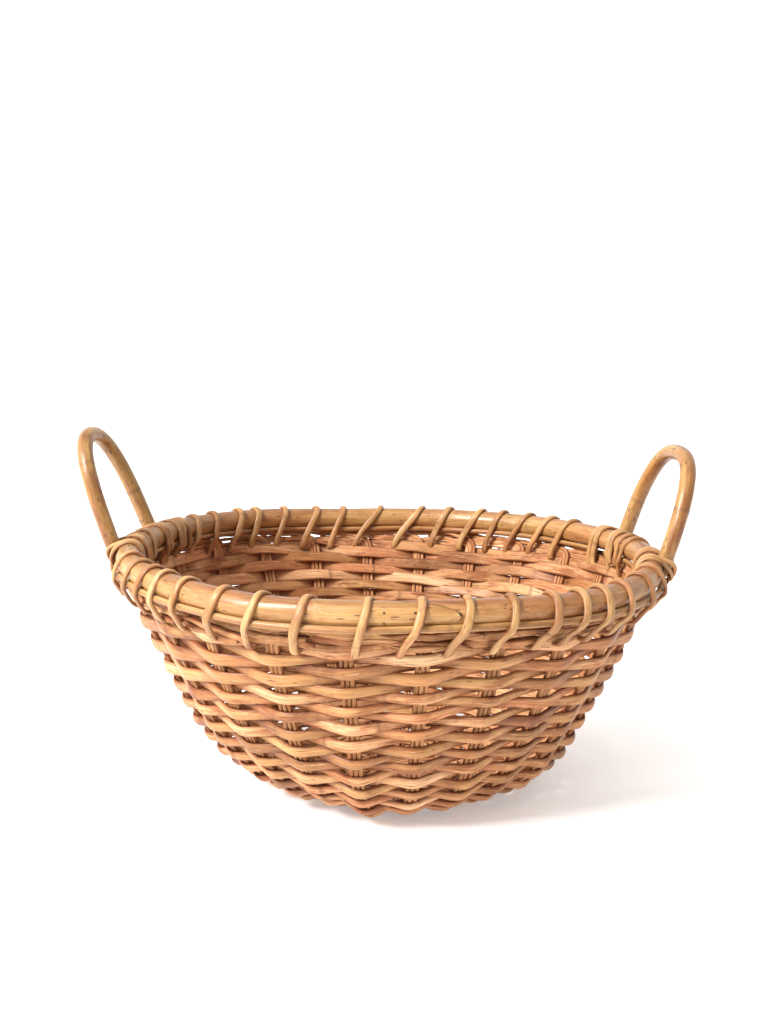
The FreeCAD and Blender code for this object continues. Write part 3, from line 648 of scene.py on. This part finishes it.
def split_line(k, order, seed):
    """Control points of one split: base, wall, bend, border tail."""
    rng = np.random.default_rng(seed)
    angle = stake_angle(k)
    side = (order - 1) * SPLIT_PITCH
    inner_bend, stagger = 3.2, (2 - order) * 1.3
    bend = inner_bend + (2 - order) * SPLIT_PITCH
    top = LAST_RUN + WEAVER_W / 2 + LASH_T + 0.5
    butt = STICK_END + 1 if order == 1 else STICK_END - 7
    run = butt + (top - butt) * np.arange(47) / 46
    side = side + 0.25 * wob(seed + 2, run / 25)
    wall_part = wall_point(run, angle, 0.18 * wob(seed + 1, run / 30), side)
    centre = SPLIT_PITCH + inner_bend
    turn = 0.5 * math.pi * np.arange(1, 6) / 5
    run = top + bend * np.sin(turn)
    side = centre - bend * np.cos(turn)
    bend_part = wall_point(run, angle, tail_lift(side, run), side)
    level = top + bend + stagger
    radius = float(wall(level)[0])
    first = math.degrees(centre / radius)
    last = STEP * (1.86 - 0.09 * order) + rng.uniform(-4.0, 0.6)
    swing = first + (last - first) * np.arange(1, 19) / 18
    part = (swing - first) / (last - first)
    lift = tail_lift(np.radians(swing) * radius, level)
    level = level - stagger * (1 - smooth(part * 5))
    level = level + rng.uniform(-2.4, 5.5) * part
    level = level + 1.6 * wob(seed + 3, swing / 4) * smooth(part * 4)
    lift = lift + 1.1 * wob(seed + 4, swing / 5) * smooth(part * 4)
    tail_part = wall_point(level, angle + swing, lift)
    return (np.concatenate(k) for k in zip(wall_part, bend_part, tail_part))


def frayed_fibres(piece, p, n, s, seed):
    """Thin torn fibres that curl away from the end of a border tail."""
    rng = np.random.default_rng(seed)
    for k in range(rng.integers(1, 5)):
        at = s[-1] - rng.uniform(2, 32)
        i = int(np.searchsorted(s, at)) - 1
        t = unit(p[i + 1] - p[i])
        up = unit(np.cross(n[i], t))
        length = rng.uniform(7, 20)
        u = np.linspace(0, 1, 11)[:, None]
        bow = rng.uniform(-5, 5)
        curl = rng.uniform(-2, 5)
        line = p[i] + n[i] * 1.6 + t * u * length
        line = line + up * (bow * u ** 2 + rng.uniform(-1.5, 1.5)) + n[i] * curl * u ** 2 * 0.4
        width = rng.uniform(0.5, 1.1) * (1 - 0.6 * u[:, 0])
        tone = rng.uniform(0.6, 1.0)
        piece.strand(line, np.tile(n[i], (11, 1)), SPLIT[::2], width, 0.45, tone, skin=0.3, seed=k)


def build_stakes():
    for k in range(STAKES):
        piece = Piece()
        for order in range(3):
            seed = 5000 + 31 * k + 7 * order
            p, n = split_line(k, order, seed)
            p, n = spline(p, 4), unit(spline(n, 4))
            p, n, s, _ = resample(p, n, 2.0)
            w = SPLIT_W * (0.98 + 0.10 * wob(seed + 5, s / 40) + 0.05 * wob(seed + 6, s / 9))
            t = SPLIT_T * (0.97 + 0.08 * wob(seed + 7, s / 30))
            # the tail is flattened where it is laid along the rim
            flat = smooth((s - s[-1] + 92) / 12)
            w = w * (1 + (0.62 + 0.25 * wob(seed + 11, s / 17)) * flat)
            t = t * (1 - 0.10 * flat)
            taper = 0.4 + 0.6 * smooth(s / 16)
            end = 1 - 0.6 * smooth((s - s[-1] + 14) / 14)
            tone = 0.42 + 0.3 * float(wob(seed + 8, [0.5])[0]) + 0.12 * wob(seed + 9, s / 60)
            skin = smooth((SPLIT[:, 1] + 0.1) / 0.3) * (0.9 if order != 1 else 0.6)
            mark = growth_rings(seed, s, 260.0)
            twist = 0.12 * wob(seed + 10, s / 35)
            twist = twist + 0.35 * wob(seed + 12, s / 16) * flat
            tone = tone + (0.16 + 0.2 * wob(seed + 13, s / 14)) * flat
            # painted shade on the uprights: a low even amount, uneven in patches along the
            # flattened border tails
            shade_depth = 0.34 + (0.30 * wob(seed + 15, s / 9) - 0.08) * flat
            piece.strand(p, n, SPLIT, w * taper * end, t * taper, tone, skin=skin, mark=mark,
                         twist=twist, cut=0.5, seed=k * 3 + order, shade_depth=shade_depth[:, None])
            if (k + order) % 2 == 0:
                frayed_fibres(piece, p, n, s, seed + 14)
        label = "%02d" % (k + 1)
        piece.make("upright_" + label, "stake_" + label, mat_split)


# ------------------------------ base
def build_base_sticks():
    """Two crossing layers of six sticks that fan out to the uprights."""
    for layer, label in enumerate(("lower", "upper")):
        piece = Piece()
        first = 18.0 + 6.0 * layer
        axis = math.radians(stake_angle(first + 2.5))
        u = np.array([math.cos(axis), math.sin(axis), 0])
        v = np.array([-math.sin(axis), math.cos(axis), 0])
        flat = SPLIT_T / 2 - 0.35 + (SPLIT_T + 0.1 if layer else 0)
        for index in range(6):
            seed = 7000 + 40 * layer + index
            side = v * (index - 2) * STICK_PITCH
            f = np.arange(13)[:, None] / 12
            pts = []
            for stake, sign in ((first + 17 - index, -1.0), (first + index, 1.0)):
                a = math.radians(stake_angle(stake))
                tip = np.array([math.cos(a), math.sin(a), 0]) * STICK_END
                root = u * STICK_STRAIGHT * sign + side
                arm = root + (tip - root) * f
                arm[:, 2] = flat + (HALF - flat) * smooth(f[:, 0] * 2.2)
                pts.extend(arm[::-1] if sign < 0 else arm)
                if sign < 0:
                    middle = u * STICK_STRAIGHT * (np.arange(1, 6)[:, None] / 3 - 1) + side
                    middle[:, 2] = flat
                    pts.extend(middle)
            p = spline(np.array(pts), 4)
            p, n, s, _ = resample(p, np.tile([0.0, 0, -1], (len(p), 1)), 1.5)
            w = STICK_W * (0.98 + 0.07 * wob(seed, s / 18))
            t = STICK_T * (0.98 + 0.05 * wob(seed + 1, s / 15))
            piece.strand(p, n, SPLIT, w, t, 0.4 + 0.25 * wob(seed + 2, s / 60),
                         mark=growth_rings(seed, s, 180), cut=0.5, seed=seed % 97)
        piece.make("base_stick_" + label, "base_sticks_" + label, mat_split)


def build_base_weavers():
    full = (SPLIT_T + BASE_WEAVER_T) / 2 + 0.3
    for parity, label in enumerate("ab"):
        seed = 7500 + parity
        pos = np.linspace(0, BASE_TURNS * STAKES, int(BASE_TURNS * STAKES * 22))
        run = BASE_START + parity * BASE_PITCH + 2 * BASE_PITCH * pos / STAKES
        run = run + 0.2 * wob(seed, pos * 0.7)
        p, n = wall_point(run, stake_angle(pos), full * flat_wave(pos - parity))
        p, n, s, _ = resample(p, n, 1.2)
        w = BASE_WEAVER_W * (1 + 0.08 * wob(seed + 1, s / 20))
        t = BASE_WEAVER_T * (1 + 0.08 * wob(seed + 2, s / 17))
        piece = Piece()
        piece.strand(p, n, HALF_ROUND[::2], w, t, 0.5 + 0.25 * wob(seed + 3, s / 90),
                     mark=growth_rings(seed, s, 200), twist=0.15 * wob(seed + 4, s / 12),
                     cut=0.6, seed=seed % 89)
        piece.make("base_weave_" + label, "base_weaver_" + label, mat_weaver)


# ------------------------------ rim
def legs():
    """Angle and outward lean of the four handle legs, from the right front on."""
    out = []
    for centre, half_width, _, lean, _ in HANDLES.values():
        swing = math.degrees(math.asin(half_width / LEG_R))
        out += [(centre - swing, lean), (centre + swing, lean)]
    return out


LEGS = legs()
LEG_NAMES = ("right_front", "right_back", "left_back", "left_front")


def build_hoop():
    seed = 8100
    slope = 1 / math.tan(math.radians(14.0))
    gap = 0.25 / HOOP_R
    share = np.linspace(0, 1, 1100)
    angle = np.radians(SCARF) + gap + (2 * np.pi - 2 * gap) * share
    s = angle * HOOP_R - angle[0] * HOOP_R
    deg = np.degrees(angle)
    # the two ends stay on the circle, so that they meet
    fade = smooth(np.minimum(share, 1 - share) * 12)
    r = HOOP_R + 0.5 * (wob(seed, deg / 37) * fade)
    z = HOOP_Z + 0.4 * (wob(seed + 1, deg / 41) * fade)
    p = ring_point(r, z, deg)
    n = np.stack([np.cos(angle), np.sin(angle), angle * 0], -1)
    mark = growth_rings(seed, s, 300.0)
    d = 2 * HOOP_TUBE * (0.985 + 0.012 * wob(seed + 2, s / 70)) * (1 + 0.03 * mark)
    m = 48
    turn = around_section(m)
    relief = 0.12 * wob(seed + 4, s / 60)[:, None] * np.cos(9 * turn)
    relief = relief + 0.12 * wob(seed + 5, s / 14)[:, None] * np.cos(2 * turn + 1)
    relief = relief + 0.15 * wob(seed + 7, s / 35)[:, None] * np.cos(3 * turn + 2)
    # the last stretch before the scarf was cut from a paler length
    tone = 0.50 + 0.22 * wob(seed + 6, s / 130) + 0.35 * smooth((s - s[-1] + 62) / 10)
    piece = Piece()
    piece.strand(p, n, round_section(m), d, d, tone, skin=1.0, mark=mark * 0.8, relief=relief,
                 seed=3)
    # both ends are cut along one slanting plane, so they lie on each other
    v = piece.v[0].reshape(len(s), m, 3)
    radial = np.hypot(v[..., 0], v[..., 1]) - HOOP_R
    shift = radial * slope / HOOP_R * smooth(1 - np.minimum(s, s[-1] - s) / 90)[:, None]
    c, d = np.cos(shift), np.sin(shift)
    v[..., 0], v[..., 1] = v[..., 0] * c - v[..., 1] * d, v[..., 0] * d + v[..., 1] * c
    piece.v[0] = v.reshape(-1, 3)
    for k, end in ((1, 0), (2, -1)):
        ring, middle = v[end], v[end].mean(0)
        piece.v[k] = np.concatenate([middle + (ring - middle) * 0.8, middle[None]])
    piece.make("hoop_pole", "rim_hoop", mat_pole)


def build_nails():
    """Four nails round the scarf: flat head outside, point inside."""
    piece = Piece()
    depth = np.array([0, 0.15, 0.4, 2, 8, 11.8])
    width = np.array([1.1, 1.6, 1.5, 1.5, 1.3, 0.5])
    for along in (-9.0, 9.0):
        for up in (-3.2, 3.2):
            out = HOOP_R + math.sqrt(HOOP_TUBE ** 2 - up ** 2) + 0.15 - depth
            p = ring_point(out, HOOP_Z + up, SCARF + math.degrees(along / HOOP_R))
            n = np.tile([0, 0, 1.0], (len(depth), 1))
            piece.strand(p, n, round_section(14), width, width, skin=1.0)
    piece.make("scarf_nails", "rim_nails", steel())


def cane_piece(name, node, line, first, last, seed):
    angle = np.linspace(first, last, int((last - first) * 2.2))
    fade = smooth(np.minimum(angle - first, last - angle) / 6)
    r = line[0] + 0.35 * wob(seed, angle / 9) * fade
    z = line[1] + 0.45 * wob(seed + 1, angle / 13) * fade
    p = ring_point(r, z, angle)
    p, n, s, _ = resample(p, np.tile([0, 0, 1.0], (len(p), 1)), 2.0)
    d = 2 * CANE * (0.98 + 0.06 * wob(seed + 2, s / 45))
    mark = growth_rings(seed, s, 210.0)
    tone = 0.55 + 0.22 * wob(seed + 3, s / 100)
    piece = Piece()
    piece.strand(p, n, round_section(18), d * (1 + 0.08 * mark), d, tone, skin=1.0,
                 mark=mark * 0.7, cut=0.9, seed=seed % 83)
    piece.make(name, node, mat_cane)


def build_canes():
    a, room = [angle for angle, _ in LEGS], 2.3
    for label, first, last, seed in (("front", a[3] - 360, a[0], 8300), ("back", a[1], a[2], 8310)):
        cane_piece("cane_under_hoop_" + label, "rim_cane_outer_" + label, OUTER_CANE,
                   first + room, last - room, seed)
    cane_piece("cane_inside_hoop", "rim_cane_inner", INNER_CANE, 30.0, 386.0, 8320)


# ------------------------------ lashing
def outline():
    """One wrap in a cut through the rim: radius and height of its corners,
    from below the border up the outside, over the hoop and down the inside."""
    off = LASH_T / 2 + 0.25
    r, z, dr, dz = (float(v) for v in wall(LAST_RUN + WEAVER_W / 2 + off))
    border = 9.6
    top = HOOP_TUBE + off + 0.2
    outer, inner = OUTER_CANE[0] + CANE + off, r - SPLIT_T / 2 - off
    c = [(r + border * dz, z - 1.6 * dr), (r + (border + off) * dz + 2.4, z + 6.0)]
    c += [(outer + 0.5, OUTER_CANE[1] - 3.2), (outer + 0.6, OUTER_CANE[1] + 2.4)]
    for turn in (25.0, 58.0, 90.0, 122.0, 152.0, 180.0):
        a = math.radians(turn)
        c.append((HOOP_R + top * math.cos(a), HOOP_Z + top * math.sin(a)))
    c += [(INNER_CANE[0] - CANE - off - 0.3, INNER_CANE[1]), (inner - 0.9, z + 7.0)]
    c += [(inner - 0.4, z + 1.2), (r - 1.0, z - 0.2), (r + 4.5, z - 0.9)]
    return np.array(c)


OUTLINE = outline()
AROUND = lengths(np.concatenate([OUTLINE, OUTLINE[:1]]))   # distance round to each corner
TOP_CORNER, INNER_CORNER = 5, 12            # last one outside, last one inside


def leg_push(corner, angle, extra):
    """How far a wrap stands out where it passes over a handle leg."""
    r, z = OUTLINE[corner]
    push = 0.0
    if corner >= TOP_CORNER or z < LEG_FOOT_Z - 4:
        return push
    for leg, lean in LEGS:
        reach = math.radians(abs((angle - leg + 180) % 360 - 180)) * HOOP_R
        tilt = math.radians(lean)
        face = LEG_R + (z - HOOP_Z) * math.tan(tilt) + HANDLE_TUBE / math.cos(tilt)
        push = max(push, (face + LASH_T / 2 + 1.45 + extra - r) * float(smooth((16 - reach) / 8)))
    return push


def swung(corner, first, last, start, end):
    """The angle of a wrap on its way from one angle to the next."""
    share = (AROUND[corner] - AROUND[first]) / (AROUND[last] - AROUND[first])
    return start + (end - start) * float(smooth(share))


def wrap_rings(bottom, top, after, last, extra=0.0, hug=0.0):
    """Corners and normals of one wrap: bottom and top are its angles below the
    border and over the hoop, after is where the next one starts. At the legs
    extra lifts it over other wraps and hug pulls it in."""
    pts, nrm = [], []
    for i in range(last + 1):
        if i <= TOP_CORNER:
            angle = swung(i, 0, TOP_CORNER, bottom, top)
        else:
            angle = swung(i, TOP_CORNER + 1, INNER_CORNER, top, after)
        r, z = OUTLINE[i]
        d = OUTLINE[(i + 1) % len(OUTLINE)] - OUTLINE[i - 1]
        a = math.radians(angle)
        pts.append(ring_point(r + leg_push(i, angle, extra - hug), z, angle))
        nrm.append(np.array([d[1] * math.cos(a), d[1] * math.sin(a), -d[0]]))
    return pts, nrm


def wind(turns, hug=0.0):
    """Joins wraps to one strand, which ends inside, below the hoop."""
    pts, nrm = [], []
    for i, (bottom, top, after, extra) in enumerate(turns):
        last = len(OUTLINE) - 1 if i + 1 < len(turns) else INNER_CORNER - 1
        p, n = wrap_rings(bottom, top, after, last, extra, hug)
        pts += p
        nrm += n
    return pts, nrm


def clear_of_uprights(angle):
    """Moves a wrap aside where it would pass through an upright."""
    near = START + STEP * round((angle - START) / STEP)
    away = angle - near
    room = 2.7
    return angle if abs(away) >= room else near + math.copysign(room, away)


def wrap_positions(first, last):
    """Wraps between two legs, mostly two to a gap between uprights."""
    out = []
    room, single = 7.0, (6, 18, 22)
    for gap in range(-STAKES, 2 * STAKES):
        fractions = (0.45,) if gap % STAKES in single else (0.27, 0.76)
        for n, f in enumerate(fractions):
            wander = 0.045 * math.sin(2.3 * (gap % STAKES) + 1.7 * n)
            angle = clear_of_uprights(START + STEP * (gap + f + wander))
            if first + room < angle < last - room - 0.4:
                out.append(angle)
    return out


# Wraps are not evenly spaced: shift in degrees of the passes below the border
# and over the hoop, counted from the left end of the front span.
FRONT_LOW = (0, 0.6, -0.5, -1.2, -0.7, -0.3, -0.5, 1.0, 5.7, 3.9, 0.3, 0.7, 1.8, 1.4, 0.8, 0.3,
             -0.6, -1.0)
FRONT_TOP = (0, 0.9, 0, -1.8, -2.1, -0.4, -0.7, 1.0, 5.0, 4.6, 0.3, 0.7, 2.5, 2.5, 1.2, 0.3,
             -0.8, -2.0)


def lash_piece(name, node, pts, nrm, seed):
    p, n = spline(np.array(pts), 6), unit(spline(np.array(nrm), 6))
    p, n, s, _ = resample(p, n, 0.9)
    wander = 0.35 * wob(seed, s / 23)
    side = np.cross(unit(np.gradient(p, axis=0)), n)
    p = p + side * wander[:, None]
    w = LASH_W * (0.98 + 0.14 * wob(seed + 1, s / 31) + 0.06 * wob(seed + 2, s / 8))
    t = LASH_T * (1.22 + 0.12 * wob(seed + 3, s / 19))
    tone = 0.55 + 0.28 * wob(seed + 4, s / 120) + 0.1 * wob(seed + 5, s / 30)
    m = len(HALF_ROUND)
    groove = np.zeros((len(s), m))
    for g in range(3):
        where = (3 + 6 * g + 3 * wob(seed + 10 + g, s / 40)) % m
        depth = 0.22 * np.clip(wob(seed + 20 + g, s / 16), 0, 1)
        gap = np.abs((np.arange(m)[None] - where[:, None] + m / 2) % m - m / 2)
        groove -= depth[:, None] * np.exp(-(gap / 0.7) ** 2)
    piece = Piece()
    piece.strand(p, n, HALF_ROUND, w, t, tone, mark=growth_rings(seed, s, 260.0) * 0.7,
                 twist=0.10 * wob(seed + 6, s / 26), relief=groove, cut=0.6, seed=seed % 79)
    piece.make(name, node, mat_peel)


def build_lashings():
    a = [angle for angle, _ in LEGS] + [LEGS[0][0] + 360]
    tail = 1.6                              # how far the last wrap of a span leans over
    for q, name in enumerate(("right", "back", "left", "front")):
        bottoms = wrap_positions(a[q], a[q + 1])
        afters = bottoms[1:] + [bottoms[-1] + tail]
        rng = np.random.default_rng(8400 + q)
        tops = []
        for i, (bottom, after) in enumerate(zip(bottoms, afters)):
            own = FRONT_TOP[i] if name == "front" else rng.uniform(-1.2, 1.2)
            tops.append(bottom + 0.42 * min(after - bottom, 8.0) + own)
        if name == "front":
            bottoms = [b + shift for b, shift in zip(bottoms, FRONT_LOW)]
            afters = bottoms[1:] + [bottoms[-1] + tail]
        pts, nrm = wind([k + (0.0,) for k in zip(bottoms, tops, afters)])
        lash_piece("lashing_" + name, "rim_lashing_" + name, pts, nrm, 8500 + 40 * q)
    for q, (name, leg) in enumerate(zip(LEG_NAMES, a)):
        low, high = clear_of_uprights(leg - 3.4), clear_of_uprights(leg + 3.4)
        # two crossing pairs of wraps, laid side by side and pulled tight
        turns = ((low, leg + 2.6, high, 0.0), (high, leg - 2.9, low, 1.2),
                 (low - 1.7, leg + 4.4, high + 1.7, 0.3), (high + 1.7, leg - 4.6, low - 1.7, 1.6))
        pts, nrm = wind(turns, hug=1.7)
        lash_piece("binding_" + name, "handle_binding_" + name, pts, nrm, 8700 + 40 * q)


# ------------------------------ handles
def superellipse(wave, square):
    return np.sign(wave) * np.abs(wave) ** (2 / square)


def build_handles():
    for side, seed in (("right", 9000), ("left", 9100)):
        centre, half_width, rise, lean, square = HANDLES[side]
        a, tilt = math.radians(centre), math.radians(lean)
        middle = math.sqrt(LEG_R ** 2 - half_width ** 2)
        # up one leg, over the arch and down the other leg, in the handle's plane
        drop = (LEG_FOOT_Z - HOOP_Z) * (1 - np.arange(5) / 5) / math.cos(tilt)
        turn = np.pi * np.arange(61) / 60
        arch = half_width * superellipse(np.cos(turn), square)
        u = np.concatenate([np.full(5, half_width), arch, np.full(5, -half_width)])
        v = np.concatenate([drop, rise * superellipse(np.sin(turn), square), drop[::-1]])
        r = middle + v * math.sin(tilt)
        z = HOOP_Z + v * math.cos(tilt)
        p = np.stack([r * math.cos(a) - u * math.sin(a), r * math.sin(a) + u * math.cos(a), z], 1)
        out = math.cos(a) * math.cos(tilt), math.sin(a) * math.cos(tilt), -math.sin(tilt)
        p, n, s, _ = resample(p, np.tile(out, (len(p), 1)), 6.0)
        p, n = spline(relax(p, 2), 5), unit(spline(n, 5))
        p, n, s, _ = resample(p, n, 1.3)
        fade = smooth(np.minimum(s, s[-1] - s) / 40)
        p = p + n * (0.5 * wob(seed, s / 45) * fade)[:, None]
        mark = growth_rings(seed + 3, s, 90.0) * 0.8
        d = 2 * HANDLE_TUBE * (0.985 + 0.02 * wob(seed + 1, s / 35)) * (1 + 0.03 * mark)
        m = 36
        lump = 0.07 * wob(seed + 2, s / 9)[:, None] * np.cos(around_section(m) * 3)
        tone = 0.5 + 0.2 * wob(seed + 4, s / 80)
        piece = Piece()
        piece.strand(p, n, round_section(m), d, d, tone, skin=1.0, mark=mark, relief=lump,
                     cut=0.3, seed=seed % 71)
        # the legs are notched where they lie against the hoop
        v = piece.v[0]
        rad = np.hypot(v[:, 0], v[:, 1])
        hoop = np.stack([v[:, 0] / rad * HOOP_R, v[:, 1] / rad * HOOP_R, rad * 0 + HOOP_Z], 1)
        level = settled(hoop)[:, 2]
        dr, dz = rad - HOOP_R, v[:, 2] - level
        dist = np.hypot(dr, dz)
        notch = HOOP_TUBE + 0.15
        k = dist < notch
        grow = notch / np.maximum(dist[k], 1e-6)
        v[k, :2] *= ((HOOP_R + dr[k] * grow) / rad[k])[:, None]
        v[k, 2] = level[k] + dz[k] * grow
        piece.make("handle_rod_" + side, "handle_" + side, mat_rod, settle=False)


build_hoop()
build_nails()
build_canes()
build_handles()
build_base_sticks()
build_base_weavers()
build_stakes()
build_side_weavers()
build_lashings()


# ------------------------------ studio
def place_object(name, data):
    obj = bpy.data.objects.new(name, data)
    bpy.context.scene.collection.objects.link(obj)
    obj.rotation_mode = "QUATERNION"
    return obj


def build_floor():
    g = Nodes(bpy.data.materials.new("studio_floor"))
    n = g.add("TexNoise", {"Scale": 4.0, "Detail": 2.0}).outputs[0]
    col = g.ramp(n, [(0.0, (0.90, 0.895, 0.89)), (1.0, (0.92, 0.915, 0.91))])
    shader = g.add("BsdfPrincipled", {
        "Base Color": col, "Roughness": 0.9, "Specular IOR Level": 0.1,
        "Emission Color": (1.0, 0.99, 0.98, 1.0), "Emission Strength": 0.30})
    g.add("OutputMaterial", {0: shader.outputs[0]})
    mesh = bpy.data.meshes.new("floor")
    w, z = 14.0, -0.0003
    mesh.from_pydata([(-w, -w, z), (w, -w, z), (w, w, z), (-w, w, z)], [], [(0, 1, 2, 3)])
    mesh.materials.append(g.block)
    place_object("floor", mesh)


def build_light():
    g = Nodes(bpy.data.worlds.new("studio"))
    # soft light all round, brighter from behind and from the left
    way = g.add("TexCoord").outputs["Generated"]
    towards = g.add("VectorMath", {0: way, 1: (-0.60, 0.79, 0.12)}, operation="DOT_PRODUCT")
    level = g.range(towards.outputs["Value"], -0.9, 0.5, 0.50, 1.25)
    # the backdrop itself is white from every side
    seen = g.add("LightPath").outputs["Is Camera Ray"]
    strength = g.mul(seen, 0.75, level)
    background = g.add("Background", {0: (1.0, 0.995, 0.985, 1), 1: strength})
    g.add("OutputWorld", {0: background.outputs[0]})
    bpy.context.scene.world = g.block
    bpy.context.scene.view_settings.view_transform = "Standard"
    data = bpy.data.lights.new("key", "AREA")
    data.shape, data.size, data.energy = "DISK", 1.1, 163
    key = place_object("key", data)
    key.location = (-1.65, -1.55, 1.95)
    key.rotation_quaternion = (Vector((0, 0, 0.1)) - key.location).to_track_quat("-Z", "Y")


def build_camera():
    """Eye level above the rim, from the front, a little round to the right."""
    data = bpy.data.cameras.new("camera")
    data.sensor_width, data.lens = 36.0, 42.2
    cam = place_object("camera", data)
    distance, above = 4.63 * HOOP_R * MM, 0.863 * HOOP_R * MM
    from_front, aside, down = (math.radians(k) for k in (6.3, 0.27, 8.46))
    turn, height = from_front - math.pi / 2, HOOP_Z * MM + above
    cam.location = (distance * math.cos(turn), distance * math.sin(turn), height)
    yaw, pitch = turn + math.pi + aside, -down
    flat = math.cos(pitch)
    look = Vector((math.cos(yaw) * flat, math.sin(yaw) * flat, math.sin(pitch)))
    cam.rotation_quaternion = look.to_track_quat("-Z", "Y")
    bpy.context.scene.camera = cam


build_floor()
build_light()
build_camera()
